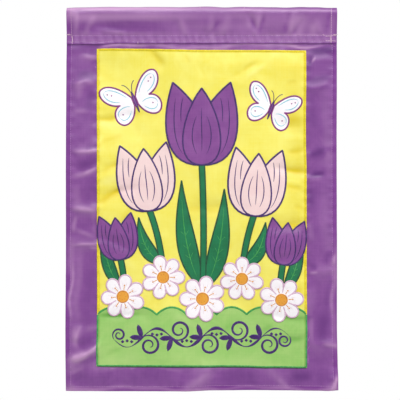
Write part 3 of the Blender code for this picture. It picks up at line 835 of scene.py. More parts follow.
def make_piece(name, mesh, material, place=hang_up, nodes=(), sharp=55, tone=cloth_painted_light):
    """Turns a flat bmesh into a hanging object that rides on the flag."""
    data = to_data(name, mesh)
    flat = np.empty(len(data.vertices) * 3)
    data.vertices.foreach_get("co", flat)
    flat = flat.reshape(-1, 3)
    data.vertices.foreach_set("co", place(flat).ravel())
    # The painted light and shade that the cloth's colour takes, kept as a point attribute.
    if tone is not None:
        data.attributes.new("painted_light", "FLOAT", "POINT").data.foreach_set("value", tone(flat))
    data.shade_smooth()
    data.set_sharp_from_angle(angle=math.radians(sharp))
    data.materials.append(MATERIALS[material])
    piece = show(name, data)
    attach(piece, "root")
    if nodes:
        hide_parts(*nodes)
    return piece


# %% [markdown]
# ## Satin stitching
# A satin line is thread laid from side to side, row beside row, so it is a low rounded strip with a
# ridge for each turn of thread. A bevelled curve would be smooth, and a bump map would vanish at the
# edge. So a grid is wrapped round a flattened section, with every second row a little lower and
# narrower, and its two ends are drawn to a point.

# %% Helpers for thread
ROW = THREAD_PITCH / 2
GROOVE = 0.07 * MM
SATIN_HEIGHT = 0.34 * MM
SATIN_WIDTH = 2.6 * MM
SECTION = ((-1.0, 0.0), (-0.74, 0.76), (0.0, 1.0), (0.74, 0.76), (1.0, 0.0), (0.0, 0.0), (-1.0, 0.0))
TURN_ROWS = 3
sewing = np.random.default_rng(5)


def even(points, step, closed=False):
    """Spots about a step apart along a line of points, with an even number of steps."""
    points = np.asarray(points, float)
    if closed:
        points = np.vstack([points, points[:1]])
    run = np.concatenate([[0], np.cumsum(np.hypot(*np.diff(points, axis=0).T))])
    count = 2 * max(1, round(run[-1] / step / 2))
    at = np.linspace(0, run[-1], count + 1)
    return np.column_stack([np.interp(at, run, points[:, 0]), np.interp(at, run, points[:, 1])])


def side_ways(path, closed):
    """The direction square to the path at each spot, turned gently at corners."""
    if closed:
        loop = path[:-1]
        way = np.roll(loop, -TURN_ROWS, axis=0) - np.roll(loop, TURN_ROWS, axis=0)
        way = np.vstack([way, way[:1]])
    else:
        at = np.arange(len(path))
        way = path[np.minimum(at + TURN_ROWS, at[-1])] - path[np.maximum(at - TURN_ROWS, 0)]
    way /= np.maximum(np.hypot(*way.T), TINY)[:, None]
    return np.column_stack([-way[:, 1], way[:, 0]])


def strip(mesh, path, half, base, lift, closed):
    """Wraps a grid round the flattened section along a path and adds it to mesh. half is half of the
    width and lift the height over base, both at each row."""
    rows = len(path)
    across = side_ways(path, closed)
    part = bmesh.new()
    run = part.verts.layers.float.new("run")
    made = bmesh.ops.create_grid(part, x_segments=rows - 1, y_segments=len(SECTION) - 1, size=1)["verts"]
    spots = []
    for side, share in SECTION:
        x, z = (path + side * half[:, None] * across).T
        spots += np.column_stack([x, -(base + share * lift), z]).tolist()
    for vert, spot, row in zip(made, spots, list(range(rows)) * len(SECTION)):
        vert.co = spot
        vert[run] = row * ROW
    bmesh.ops.remove_doubles(part, verts=made, dist=CUT_TOLERANCE)
    bmesh.ops.recalc_face_normals(part, faces=part.faces[:])
    carrier = to_data("strip", part)
    mesh.from_mesh(carrier)
    bpy.data.meshes.remove(carrier)


def ridged(rows, height):
    """The height of each row of thread: every second row lies a little lower."""
    return height - np.sign(height) * GROOVE * (np.arange(rows) % 2)


def inside(spots, outline):
    """Which spots lie within an outline, by counting the sides to the right of each."""
    x, z = spots[:, :1], spots[:, 1:]
    (ax, az), (bx, bz) = outline.T, np.roll(outline, -1, axis=0).T
    crossed = (az > z) != (bz > z)
    at = ax + (z - az) / np.where(bz == az, 1, bz - az) * (bx - ax)
    return (crossed & (x < at)).sum(1) % 2 == 1


CURVE_STEPS = 14


def curve(*corners):
    """Spots along a cubic curve, without its last one."""
    start, first, second, end = (np.array(corner, float) for corner in corners)
    t = (np.arange(CURVE_STEPS) / CURVE_STEPS)[:, None]
    s = 1 - t
    return s**3 * start + 3 * s * s * t * first + 3 * s * t * t * second + t**3 * end


def stroke(*corners):
    """An open curve with its last spot."""
    return np.vstack([curve(*corners), [corners[-1]]])


def heading(angle):
    """The direction at an angle from the right, in radians."""
    return np.array([math.cos(angle), math.sin(angle)])


def square_to(way):
    """A direction turned a quarter to the left."""
    return np.array([-way[1], way[0]])


def unit(way):
    return way / np.linalg.norm(way)


BOBBIN_ROW = 1.6 * MM
BOBBIN_SHARE = 0.5
BOBBIN_SINK = 0.04 * MM
BOBBIN_HEIGHT = 0.14 * MM
FEWEST_ROWS = 5
SHORT_ROW = 0.93
RAGGED = 0.05
END_POWER = 0.55
# How much a line of thread is raised or lowered where it meets something else.
HAIR = 0.1 * MM


def full_width(share):
    return np.ones_like(share)


def thin_ends(share):
    return np.sin(math.pi * share) ** END_POWER


def satin(
    mesh, points, level, base, width=SATIN_WIDTH, closed=False, under=(), profile=full_width, back=None
):
    """Sews a line of satin, except where the pieces whose outlines are in under lie over it.
    level is the height of the cloth that it holds, base the height of what is beside it, and back the
    height of the cloth's other face, where a thinner line of the lower thread shows."""
    path = even(points, ROW, closed)
    rows = len(path)
    ragged = np.where(np.arange(rows) % 2, SHORT_ROW, 1 + sewing.uniform(-RAGGED, RAGGED, rows))
    half = width / 2 * profile(np.linspace(0, 1, rows)) * ragged
    shown = np.ones(rows, bool)
    for outline in under:
        shown &= ~inside(path, outline)
    height = level + SATIN_HEIGHT - base
    if closed and shown.all():
        half[-1] = half[0]
        strip(mesh, path, half, base, ridged(rows, height), True)
    else:
        if closed:
            first = int(np.argmin(shown))
            path = np.roll(path[:-1], -first, axis=0)
            half, shown = np.roll(half[:-1], -first), np.roll(shown[:-1], -first)
        turns = np.flatnonzero(np.diff(np.concatenate([[0], shown, [0]])))
        for start, end in turns.reshape(-1, 2):
            if end - start < FEWEST_ROWS:
                continue
            seen = slice(start, end)
            count = np.arange(end - start)
            to_end = np.minimum(count, count[::-1])
            rounded_half = half[seen] * np.sqrt(np.minimum(1, to_end * ROW / (width / 2)))
            lift = ridged(end - start, height) * np.minimum(1, to_end / 2)
            strip(mesh, path[seen], rounded_half, base, lift, False)
    if back is not None:
        lower = even(points, BOBBIN_ROW, closed)
        thin = np.full(len(lower), width * BOBBIN_SHARE / 2)
        lift = np.full(len(lower), -BOBBIN_HEIGHT)
        if not closed:
            thin[[0, -1]] = lift[[0, -1]] = 0
        strip(mesh, lower, thin, back + BOBBIN_SINK, lift, closed)


def fine_line(mesh, points, level, base, width, **more):
    """A line of satin that is drawn to a point at both ends."""
    satin(mesh, points, level, base, width, profile=thin_ends, **more)


# %% Knots and topstitching
STITCH_PITCH = 2.8 * MM
STITCH_RADIUS = 0.27 * MM
STITCH_PULSE = np.array([0.06, 0.86, 1.0, 1.0, 0.86])
# How high a stitch is from its base, in radii.
STITCH_STAND = 1.5


def disc(share):
    return np.sqrt(np.maximum(0, 1 - (2 * share - 1) ** 2))


def knot(mesh, spot, level, radius):
    """A small round bead of thread."""
    reach = np.array([radius, 0])
    satin(mesh, [spot - reach, spot + reach], level, level - HAIR, 2 * radius, profile=disc)


def topstitch(mesh, points, level, pitch=STITCH_PITCH, radius=STITCH_RADIUS):
    """A row of single stitches, each a long bead that is half sunk in the cloth. A radius below zero
    puts them on the back."""
    path = even(points, pitch / len(STITCH_PULSE))
    pulse = STITCH_PULSE[np.arange(len(path)) % len(STITCH_PULSE)]
    pulse[[0, -1]] = 0
    strip(mesh, path, abs(radius) * pulse, level - radius / 2, STITCH_STAND * radius * pulse, False)


def sewn(name, mesh, material, place=hang_up):
    """Finishes a mesh of thread lines as one piece."""
    return make_piece(name, mesh, material, place, sharp=75, tone=None)


print("satin rows are", ROW / MM, "mm apart, and topstitches", STITCH_PITCH / MM, "mm")

# %% [markdown]
# ## The ground
# The purple ground is a frame of nylon: its window is cut out behind the panel, and its sides and foot
# are turned twice to the back and topstitched. It could be a solidified plane. It is a grid instead,
# sliced exactly along the hem and the stitch line, so that the hem can be thicker, darker and softly
# rolled at its edge, and the stitch line can sink into it.

# %% The purple ground
GROUND_FRONT = 0.60 * MM
GROUND_BACK = GROUND_FRONT - CLOTH_THICKNESS
HEM_BACK = 0.85 * MM
EDGE_CUT = 0.3 * MM
EDGE_ROLL = 0.32 * MM
ROLL_REACH = 0.9 * MM
STITCH_SINK = 0.16 * MM
SINK_REACH = 0.7 * MM
HEM_CUTS = (HEM - SINK_REACH, HEM, HEM + SINK_REACH)


def tent(value, reach):
    """1 where value is 0, and down to 0 at a reach on both sides of it."""
    return max(0.0, 1 - abs(value) / reach)


def make_ground():
    mesh = cut_grid((-HALF, FOOT), (HALF, drop_z(STITCH_DROP)))
    window = (
        ((PANEL_LEFT + PANEL_LAP, 0), (-1, 0)),
        ((PANEL_RIGHT - PANEL_LAP, 0), (1, 0)),
        ((0, drop_z(PANEL_TOP_DROP) - PANEL_LAP), (PANEL_SLOPE, 1)),
        ((0, rise_z(0) + PANEL_LAP), (-PANEL_SLOPE, -1)),
    )
    for point, normal in window:
        slice_flat(mesh, point, normal)
    doomed = []
    for face in mesh.faces:
        x, _, z = face.calc_center_median()
        if max((x - at[0]) * way[0] + (z - at[1]) * way[1] for at, way in window) < 0:
            doomed.append(face)
    bmesh.ops.delete(mesh, geom=doomed, context="FACES")
    for inset in (EDGE_CUT, ROLL_REACH, *HEM_CUTS):
        slice_up(mesh, -HALF + inset, HALF - inset)
        slice_across(mesh, FOOT + inset)
    rear = set(give_body(mesh, GROUND_FRONT, CLOTH_THICKNESS))
    ply_or_groove_shade = mesh.verts.layers.float.new("ply_or_groove_shade")
    for vert in mesh.verts:
        inset = min(HALF - abs(vert.co.x), vert.co.z - FOOT)
        hemmed = inset < HEM + SINK_REACH / 2
        vert[ply_or_groove_shade] = float(hemmed)
        inward = EDGE_ROLL * tent(inset, ROLL_REACH) ** 2 + STITCH_SINK * tent(inset - HEM, SINK_REACH)
        vert.co.y += HEM_BACK * hemmed - inward if vert in rear else inward
    return make_piece("ground_cloth_hung", mesh, "purple_nylon", nodes=["ground_cloth"])


ground = make_ground()
print("ground:", len(ground.data.polygons), "faces")

# %% The hem's topstitching and the loose threads
LOOSE_THREADS = (
    ((128.5, 392), (127.6, 394), (126.8, 396), (126.4, 398)),
    ((128.6, 403), (127.6, 405), (126.6, 406), (125.9, 409)),
    ((126.0, 413), (127.2, 416), (126.4, 420), (126.6, 426)),
    ((-127.8, 70), (-126.8, 71), (-126.6, 71), (-126.0, 72)),
    ((-154.4, 85), (-153.6, 85.5), (-153.6, 86), (-154.0, 87)),
    ((154.2, 43.4), (154.3, 45.2), (155.6, 45.4), (160.6, 47.0)),
)
LOOSE_WIDTH = 0.6 * MM


def make_hem_stitching():
    """A row down each side and along the foot, on both faces, and the loose threads."""
    mesh = bmesh.new()
    left, right, head, foot = -HALF + HEM, HALF - HEM, drop_z(FLAP_DROP), FOOT + HEM
    lines = ([(left, head), (left, foot)], [(right, head), (right, foot)], [(left, foot), (right, foot)])
    for line in lines:
        topstitch(mesh, line, GROUND_FRONT - STITCH_SINK / 2)
        topstitch(mesh, line, GROUND_BACK - HEM_BACK + STITCH_SINK / 2, radius=-STITCH_RADIUS)
    for points in LOOSE_THREADS:
        line = stroke(*[(across * MM, drop_z(drop * MM)) for across, drop in points])
        fine_line(mesh, line, GROUND_FRONT + HAIR, GROUND_FRONT, LOOSE_WIDTH)
    return sewn("hem_stitching", mesh, "lilac_thread")


hem_stitching = make_hem_stitching()
print("hem stitching:", len(hem_stitching.data.polygons), "faces")

# %% [markdown]
# ## The rod sleeve
# The same cloth goes up the back, over the rod and down the front, where two rows of stitching hold its
# flap. A tube and a flat strip could stand for it, with a seam that the real one hasn't. Here a flat
# grid is wrapped along the sleeve's section, so the cloth is one sheet from the back to the fold of the
# flap, and its slack and puckers are pushes square to that section.

# %% The section that the sleeve follows
SLEEVE_FRONT = 1.70 * MM
FLAP_GAP = 0.15 * MM
TURNED_UNDER = 7 * MM
SECTION_STEP = 0.25 * MM
SMOOTHING_STEPS = 7
TOP_SPOTS = 25
FOLD_SPOTS = 9


def sleeve_section():
    """The outer face of the sleeve's cloth as (y, z) spots, from the ground's top edge to the turned end."""
    stitch, flap = drop_z(STITCH_DROP), drop_z(FLAP_DROP)
    fold = (SLEEVE_FRONT - GROUND_FRONT - FLAP_GAP) / 2
    corners = [(-GROUND_BACK, stitch)]
    for angle in np.linspace(0, math.pi, TOP_SPOTS):
        corners.append((TOP * math.cos(angle), TOP * math.sin(angle)))
    corners += [(-SLEEVE_FRONT, stitch), (-SLEEVE_FRONT, flap + fold)]
    for angle in np.linspace(0, math.pi, FOLD_SPOTS)[1:]:
        corners.append((-SLEEVE_FRONT + fold - fold * math.cos(angle), flap + fold - fold * math.sin(angle)))
    corners.append((-SLEEVE_FRONT + 2 * fold, flap + TURNED_UNDER))
    line = even(corners, SECTION_STEP)
    for _ in range(SMOOTHING_STEPS):
        line[1:-1] = (line[:-2] + 2 * line[1:-1] + line[2:]) / 4
    return line


section = sleeve_section()
section_run = np.concatenate([[0], np.cumsum(np.hypot(*np.diff(section, axis=0).T))])
section_way = np.gradient(section, axis=0)
section_way /= np.hypot(*section_way.T)[:, None]
over_top = section_run[np.argmax(section[:, 1])]
at_fold = section_run[np.argmin(np.where(section_run > over_top, section[:, 1], TOP))]
front_wall = (section_run > over_top) & (section_run < at_fold)


def on_section(run, values):
    """What the section's values are at each run along it, one column after the other."""
    return [np.interp(run, section_run, column) for column in values.T]


def run_at_drop(drop):
    """The run along the section where its front wall is that far down."""
    return float(np.interp(drop, TOP - section[front_wall][:, 1], section_run[front_wall]))


ROW_RUNS = [run_at_drop(drop) for drop in ROW_DROPS]
print("the sleeve takes", round(section_run[-1] / MM, 1), "mm of cloth")

# %% How the sleeve's cloth slumps and puckers
SLEEVE_FOLDS = folds(
    (-96, 22, 80, 3, 6, -0.8),
    (-84, 32, 50, -3, 3.4, 0.25),
    (-40, 12, 70, -2, 5, 0.6),
    (60, 18, 24, -62, 3.4, -1.1),
    (66, 22, 26, 78, 4, 0.9),
    (71, 21, 22, 70, 2.8, -0.8),
    (101, 17, 24, 82, 3.4, -0.9),
    (107, 20, 26, 76, 4, 0.9),
    (114, 24, 22, 58, 3, -0.7),
    (28, 22, 24, 66, 5, 0.7),
    (14, 26, 20, 60, 3, -0.7),
    (-22, 24, 20, -70, 4, 0.8),
    (-108, 29, 34, -6, 2.5, 0.8),
    (-134, 22, 24, 60, 4, 0.9),
    (-150, 18, 22, 84, 3, 0.9),
    (140, 24, 20, -64, 4, 0.5),
    (152, 16, 22, 86, 3, -0.8),
)
# The wall between the rows and the top bulges in and out along the rod. Its top is fuller and sags at
# its ends, and its small waves fade towards the rows.
WALL_PUFF = 0.8 * MM
WALL_PITCH = 85 * MM
TOP_PUFF = 0.45 * MM
TOP_START = 0.75
TOP_REACH = 20 * MM
END_SAG = 0.4 * MM
CALM_SHARE = 0.2
# The cloth between the two rows ripples.
ROW_PUCKER = 0.60 * MM
ROW_PITCH = 9.5 * MM
ROW_WAVER = ((1.5, 27, 0), (1.1, 11, 2))
ROW_SINK = 0.12 * MM
ROW_REACH = 1.3 * MM
BETWEEN_ROWS = 36.5 * MM
BETWEEN_REACH = 5 * MM
# The loose flap below them stands off, and hangs lower at its left end.
FLAP_WAVE = 0.35 * MM
FLAP_RUN = 6.5 * MM
FLAP_REACH = 3 * MM
FLAP_DROOP = 1.0 * MM
DROOP_DROPS = (34, 41)
DROOP_SPAN = (104, 122)
# Over what depth, from the rod forwards, the folds grow to their full height, and the ripples and painted
# tones.
FOLD_DEPTH = 3 * MM
TONE_DEPTH = 1 * MM


def up_wall(z):
    """The share of the way from the first row of stitching up to the top."""
    return np.clip((z - drop_z(STITCH_DROP)) / STITCH_DROP, 0, 1)


def sleeve_push(x, y, z):
    """How far the sleeve's cloth stands out from its section."""
    wall = up_wall(z)
    slack = WALL_PUFF * np.sin(math.pi * wall) * np.sin(2 * math.pi * x / WALL_PITCH + 1)
    slack += TOP_PUFF * ease(TOP_START, 1, wall) * ease(-HALF, -HALF + TOP_REACH, x)
    in_front = ease(0, FOLD_DEPTH, -y)
    wrinkles = small_waves(x, z) * ease(0, CALM_SHARE, wall) + fold_heap(SLEEVE_FOLDS, x, z) * in_front
    uneven = waver(x, ROW_WAVER)
    ripple = ROW_PUCKER * np.sin(2 * math.pi * x / ROW_PITCH + uneven)
    ripple *= bell(z - drop_z(BETWEEN_ROWS), BETWEEN_REACH) * ease(0, TONE_DEPTH, -y - GROUND_FRONT)
    flap = FLAP_WAVE * (1 + np.sin(x / FLAP_RUN + uneven)) * in_front
    flap *= ease(0, FLAP_REACH, drop_z(SECOND_ROW_DROP) - z)
    return slack + wrinkles + ripple + flap


def wrap(flat):
    """Takes the sleeve's spots from the table, where z is the run along its section, to the flag."""
    x, y, run = flat.T
    at_y, at_z = on_section(run, section)
    way_y, way_z = on_section(run, section_way)
    push = sleeve_push(x, at_y, at_z) - y
    out_y, out_z = at_y + way_z * push, at_z - way_y * push
    new_x, _ = settle(x, out_z)
    in_front = (run > over_top) * ease(*DROOP_DROPS, (TOP - out_z) / MM)
    droop = FLAP_DROOP * ease(*DROOP_SPAN, -x / MM) * in_front
    return np.column_stack([new_x, out_y, out_z - END_SAG * up_wall(out_z) * (x / HALF) ** 4 - droop])


# %% The rod sleeve
SLEEVE_CELL = 1.5 * MM
ROW_CUTS = ROW_REACH * np.array([-1, -1 / 3, 0, 1 / 3, 1])
# Painted light on the sleeve: a painted highlight on its rows, painted shade and highlight with its
# wrinkles, and painted tones, among them a painted highlight along the top and a painted shadow under the
# flap. The highlight may go past the pale colour.
ROW_PAINTED_HIGHLIGHT = 0.1
ROW_HIGHLIGHT_REACH = 0.8 * MM
SLEEVE_FOLD_PAINTED_LIGHT = 0.35
BRIGHTEST_PAINTED_HIGHLIGHT = 1.5
SLEEVE_PAINTED_TONES = folds(
    (-90, 2.6, 330, 0, 2.2, 0.9),
    (-100, 1.8, 160, 0, 2.4, 0.5),
    (110, 4.3, 150, 0, 1.7, 0.4),
    (-110, 12, 126, 0, 6, 0.6),
    (16, 10.5, 130, 0, 5, 0.25),
    (12, 26, 32, 90, 4, 0.25),
    (57, 16, 18, 90, 4, 0.3),
    (101, 14, 18, 90, 4, 0.3),
    (133, 27, 14, 90, 5, 0.35),
    (155, 24, 34, 90, 4, 0.2),
    (-50, 32, 300, 0, 3, 0.22),
    (105, 19, 130, 0, 13, 0.22),
    (10, 24, 120, 0, 5, 0.2),
    (116, 22, 26, 80, 7, 0.4),
    (-155, 7, 9, 90, 5, 0.45),
    (0, 38.5, 400, 0, 2.2, 0.3),
    (120, 33, 90, 0, 1.2, 0.35),
    (0, 43.7, 400, 0, 0.6, -0.5),
)


def sleeve_painted_light(flat):
    """The sleeve's painted light: painted shade and highlight along its wrinkles, a painted highlight on its
    rows, and the painted tones elsewhere.
    """
    x, _, run = flat.T
    y, z = on_section(run, section)
    total = SLEEVE_FOLD_PAINTED_LIGHT * fold_heap(SLEEVE_FOLDS, x, z) * ease(0, FOLD_DEPTH, -y)
    total += fold_heap(SLEEVE_PAINTED_TONES, x, z) * ease(0, TONE_DEPTH, -y)
    total += ROW_PAINTED_HIGHLIGHT * MM * sum(bell(run - row, ROW_HIGHLIGHT_REACH) for row in ROW_RUNS)
    return np.clip(total / MM, -1, BRIGHTEST_PAINTED_HIGHLIGHT)


def make_sleeve():
    mesh = cut_grid((-HALF, 0), (HALF, section_run[-1]), SLEEVE_CELL)
    for row in ROW_RUNS:
        slice_across(mesh, *(row + ROW_CUTS))
    for inset in (EDGE_CUT, *HEM_CUTS):
        slice_up(mesh, -HALF + inset, HALF - inset)
    rear = set(give_body(mesh, 0, CLOTH_THICKNESS))
    ply_or_groove_shade = mesh.verts.layers.float.new("ply_or_groove_shade")
    for vert in mesh.verts:
        inset = HALF - abs(vert.co.x)
        vert[ply_or_groove_shade] = float(inset < HEM + SINK_REACH / 2)
        if vert not in rear:
            to_row = min(abs(vert.co.z - row) for row in ROW_RUNS)
            vert.co.y += STITCH_SINK * tent(inset - HEM, SINK_REACH) + ROW_SINK * tent(to_row, ROW_REACH)
    return make_piece("rod_sleeve_wrapped", mesh, "purple_nylon", wrap, ["rod_sleeve"], tone=sleeve_painted_light)


sleeve = make_sleeve()
print("sleeve:", len(sleeve.data.polygons), "faces")

# %% The sleeve's two rows of stitching
ROW_INSET = 1.2 * MM
ROW_RADIUS = 0.26 * MM
LOOSE_FROM = 52 * MM
LOOSE_RADIUS = 0.38 * MM


def make_sleeve_stitching():
    """The two rows. Their stitches are looser, so wider, towards the right."""
    mesh = bmesh.new()
    reach = HALF - ROW_INSET
    for run in ROW_RUNS:
        topstitch(mesh, [(-reach, run), (LOOSE_FROM, run)], -ROW_SINK, radius=ROW_RADIUS)
        topstitch(mesh, [(LOOSE_FROM, run), (reach, run)], -ROW_SINK, radius=LOOSE_RADIUS)
    return sewn("sleeve_row_stitching", mesh, "lilac_thread", wrap)


def make_sleeve_back_stitching():
    mesh = bmesh.new()
    reach = HALF - ROW_INSET
    for drop in ROW_DROPS:
        topstitch(mesh, [(-reach, drop_z(drop)), (reach, drop_z(drop))], GROUND_BACK, radius=-STITCH_RADIUS)
    return sewn("sleeve_back_stitching", mesh, "lilac_thread")


# %% The sewing at the sleeve's ends
# The hem's two lines over the sleeve: where each is and the radius of its stitches, then how far past the
# cloth's first edge they start and how far above the flap's edge they end.
HEM_LINES = ((-HALF + HEM, 0.2 * MM), (HALF - HEM - 1.2 * MM, 0.28 * MM))
HEM_LINE_START = 2 * MM
HEM_LINE_END = 1 * MM
# The bars that hold the flap's ends.
BARS = (-HALF + 6.6 * MM, HALF - 7.5 * MM)
BAR_SLANT = 0.4 * MM
BAR_WIDTH = 0.9 * MM
# Where the rows are sewn back and forth, as insets from the right edge.
RESEWN_START = 1 * MM
RESEWN_END = 14 * MM
RESEWN_SLANTS = (0.8 * MM, -0.8 * MM)
RESEWN_PITCH = 3.2 * MM
RESEWN_RADIUS = 0.36 * MM
# The loose tails of thread, one at each end.
TAIL = stroke((0, 0), (0.3, -0.5), (0.7, 0.1), (1.0, -0.3)) * 6 * MM
TAIL_INSET = 5 * MM
TAIL_LIFT = 0.3 * MM
TAIL_BASE = 0.05 * MM
# Short bits of loose thread, as across, drop and slant.
NICKS = ((-76, 42.4, 82), (-64, 2.0, 60), (-2, 1.6, 75), (50.5, 1.8, 100), (146, 33, 20))
NICK_REACH = 1.6 * MM


def make_sleeve_ends():
    """The hem's lines over the sleeve, the sewing back and forth at its ends, and loose tails."""
    mesh = bmesh.new()
    for x, radius in HEM_LINES:
        line = [(x, HEM_LINE_START), (x, run_at_drop(FLAP_DROP - HEM_LINE_END))]
        topstitch(mesh, line, -STITCH_SINK / 2, radius=radius)
    for x in BARS:
        bar = [(x, ROW_RUNS[0]), (x + BAR_SLANT, run_at_drop(FLAP_DROP - BAR_SLANT))]
        fine_line(mesh, bar, HAIR, 0.0, BAR_WIDTH)
    for run, slant in zip(ROW_RUNS, RESEWN_SLANTS):
        line = [(HALF - RESEWN_START, run), (HALF - RESEWN_END, run + slant)]
        topstitch(mesh, line, HAIR, pitch=RESEWN_PITCH, radius=RESEWN_RADIUS)
    for side in (-1, 1):
        line = TAIL * (side, 1) + (side * (HALF - TAIL_INSET), ROW_RUNS[0])
        fine_line(mesh, line, TAIL_LIFT, TAIL_BASE, BAR_WIDTH)
    for across, drop, slant in NICKS:
        way = NICK_REACH * heading(math.radians(slant))
        spot = np.array([across * MM, run_at_drop(drop * MM)])
        fine_line(mesh, [spot - way, spot + way], HAIR, 0.0, LOOSE_WIDTH)
    return sewn("sleeve_end_stitching", mesh, "pink_thread", wrap)


sleeve_rows = make_sleeve_stitching()
sleeve_ends = make_sleeve_ends()
back_stitching = make_sleeve_back_stitching()
print("sleeve rows:", len(sleeve_rows.data.polygons), "faces")

# %% [markdown]
# ## The panel and its green foot
# The yellow panel is sewn over the window, and the green foot lies beside it with a scalloped upper edge.
# An outline and a knife could cut the scallops. It is simpler to bend a grid: its top row is moved to the
# scallops, and the rows below follow it, so that no cell is left as a sliver.

# %% The sky panel and the grass band
PANEL_FRONT = 1.15 * MM
PANEL_THICKNESS = 0.25 * MM
BAND_FRONT = 1.30 * MM
BAND_RISE = 62 * MM
SCALLOP_COUNT = 7
SCALLOP_DEPTH = 9 * MM
SCALLOP_POWER = 0.8
BAND_LAP = 1.0 * MM
GROOVE_INSET = 2.5 * MM
GROOVE_HALF = 0.5 * MM
GROOVE_CUTS = (GROOVE_INSET - GROOVE_HALF, GROOVE_INSET, GROOVE_INSET + GROOVE_HALF)
GROOVE_SINK = 0.15 * MM


def band_top(x):
    share = (x - PANEL_LEFT) / (PANEL_RIGHT - PANEL_LEFT)
    scallop = np.abs(np.sin(math.pi * SCALLOP_COUNT * share)) ** SCALLOP_POWER
    return rise_z(BAND_RISE + SCALLOP_DEPTH * scallop)


def sky_foot(x):
    return band_top(x) - BAND_LAP


def panel_foot(x):
    return rise_z(0) - PANEL_SLOPE * x


def panel_head(x):
    return drop_z(PANEL_TOP_DROP) - PANEL_SLOPE * x


def bent_panel(name, low, high, level, material, node):
    """A sheet between two curves, low and high, that give z for an x."""
    height = float(high(0.0) - low(0.0))
    mesh = cut_grid((PANEL_LEFT, 0), (PANEL_RIGHT, height))
    for inset in GROOVE_CUTS:
        slice_up(mesh, PANEL_LEFT + inset, PANEL_RIGHT - inset)
        slice_across(mesh, height - inset)
    for vert in mesh.verts:
        x, share = vert.co.x, vert.co.z / height
        vert.co.z = low(x) + share * (high(x) - low(x))
    give_body(mesh, level, PANEL_THICKNESS)
    # The groove inside the panel's edge sinks and takes the cloth's third tone, a painted shade.
    ply_or_groove_shade = mesh.verts.layers.float.new("ply_or_groove_shade")
    for vert in mesh.verts:
        x, _, z = vert.co
        inset = min(x - PANEL_LEFT, PANEL_RIGHT - x, panel_head(x) - z)
        vert[ply_or_groove_shade] = tent(inset - GROOVE_INSET, 2 * GROOVE_HALF)
        vert.co.y += GROOVE_SINK * vert[ply_or_groove_shade]
    return make_piece(name, mesh, material, nodes=[node])


sky = bent_panel("sky_panel_hung", sky_foot, panel_head, PANEL_FRONT, "yellow_nylon", "sky_panel")
grass = bent_panel("grass_band_hung", panel_foot, band_top, BAND_FRONT, "green_nylon", "grass_band")
print("sky", len(sky.data.polygons), "faces, grass", len(grass.data.polygons), "faces")

# %% The panel's stitched edges
PANEL_BACK = PANEL_FRONT - PANEL_THICKNESS
EDGE_WIDTH = 2.2 * MM
EDGE_INSET = 0.9 * MM
CORNER = 0.5 * MM
WIDE_CORNER = 2.4 * MM
INNER_RADIUS = 0.2 * MM
SCALLOP_STEPS = 40
FOOT_LINE_DROP = 0.7 * MM
FOOT_LINE_WIDTH = 1.4 * MM


def rounded(corner, before, after, radius=CORNER):
    """Three spots that take a line round a corner."""
    corner, before, after = map(np.array, (corner, before, after))
    start, end = corner + radius * unit(before - corner), corner + radius * unit(after - corner)
    return [tuple(start), tuple((start + end + 2 * corner) / 4), tuple(end)]


def make_panel_edges():
    """Yellow satin round the panel, green satin round its foot, and the single lines beside them."""
    left, right = PANEL_LEFT + EDGE_INSET, PANEL_RIGHT - EDGE_INSET
    low_left, low_right = ((x, panel_foot(x) + EDGE_INSET) for x in (left, right))
    high_left, high_right = ((x, panel_head(x) - EDGE_INSET) for x in (left, right))
    band_left, band_right = (left, band_top(left)), (right, band_top(right))
    over = [band_left, *rounded(high_left, band_left, high_right)]
    over += [*rounded(high_right, high_left, band_right, WIDE_CORNER), band_right]
    round_foot = [band_right, *rounded(low_right, band_right, low_left)]
    round_foot += [*rounded(low_left, low_right, band_left), band_left]
    yellow, green, dark = bmesh.new(), bmesh.new(), bmesh.new()
    satin(yellow, over, BAND_FRONT, GROUND_FRONT, EDGE_WIDTH, back=GROUND_BACK)
    satin(green, round_foot, BAND_FRONT, GROUND_FRONT, EDGE_WIDTH, back=GROUND_BACK)
    inner = []
    for x, z in (band_left, high_left, high_right, band_right):
        inner.append((x - math.copysign(GROOVE_INSET - EDGE_INSET, x), z - GROOVE_INSET + EDGE_INSET))
    topstitch(yellow, inner, PANEL_FRONT - GROOVE_SINK, radius=INNER_RADIUS)
    x = np.linspace(left, right, SCALLOP_STEPS * SCALLOP_COUNT + 1)
    satin(green, np.column_stack([x, band_top(x)]), BAND_FRONT, PANEL_FRONT, back=PANEL_BACK)
    line = [(x, z - EDGE_INSET - FOOT_LINE_DROP) for x, z in (low_left, low_right)]
    fine_line(dark, line, GROUND_FRONT + HAIR, GROUND_FRONT, FOOT_LINE_WIDTH)
    return (
        sewn("panel_edge_yellow_stitching", yellow, "yellow_thread"),
        sewn("panel_edge_green_stitching", green, "green_thread"),
        sewn("panel_foot_stitching", dark, "dark_green_thread"),
    )


panel_edges = make_panel_edges()
print("panel edges:", [len(piece.data.polygons) for piece in panel_edges], "faces")

# %% [markdown]
# ## The flower pieces
# Each petal, leaf, stem and wing is a patch with a satin border. Their outlines are drawn at unit size
# with a few curves, then scaled, turned and set on the panel, so one drawing serves tulips of three
# sizes. Front pieces lie over back ones as a maker would lay them, each layer a hair higher, and the
# satin of a back piece stops where a front piece hides it.

# %% Outlines at unit size
def mirrored(outline):
    return (np.asarray(outline) * (-1, 1))[::-1]


def set_down(outline, across, rise, width, height, turn):
    """An outline drawn at unit size, scaled, turned by degrees and set on the panel. The rest is in
    millimetres."""
    x, z = (np.asarray(outline, float) * (width * MM, height * MM)).T
    cos, sin = heading(math.radians(turn))
    return np.column_stack([across * MM + x * cos - z * sin, rise_z(rise * MM) + x * sin + z * cos])


# %% A patch of cloth
BEHIND = BAND_FRONT - HAIR


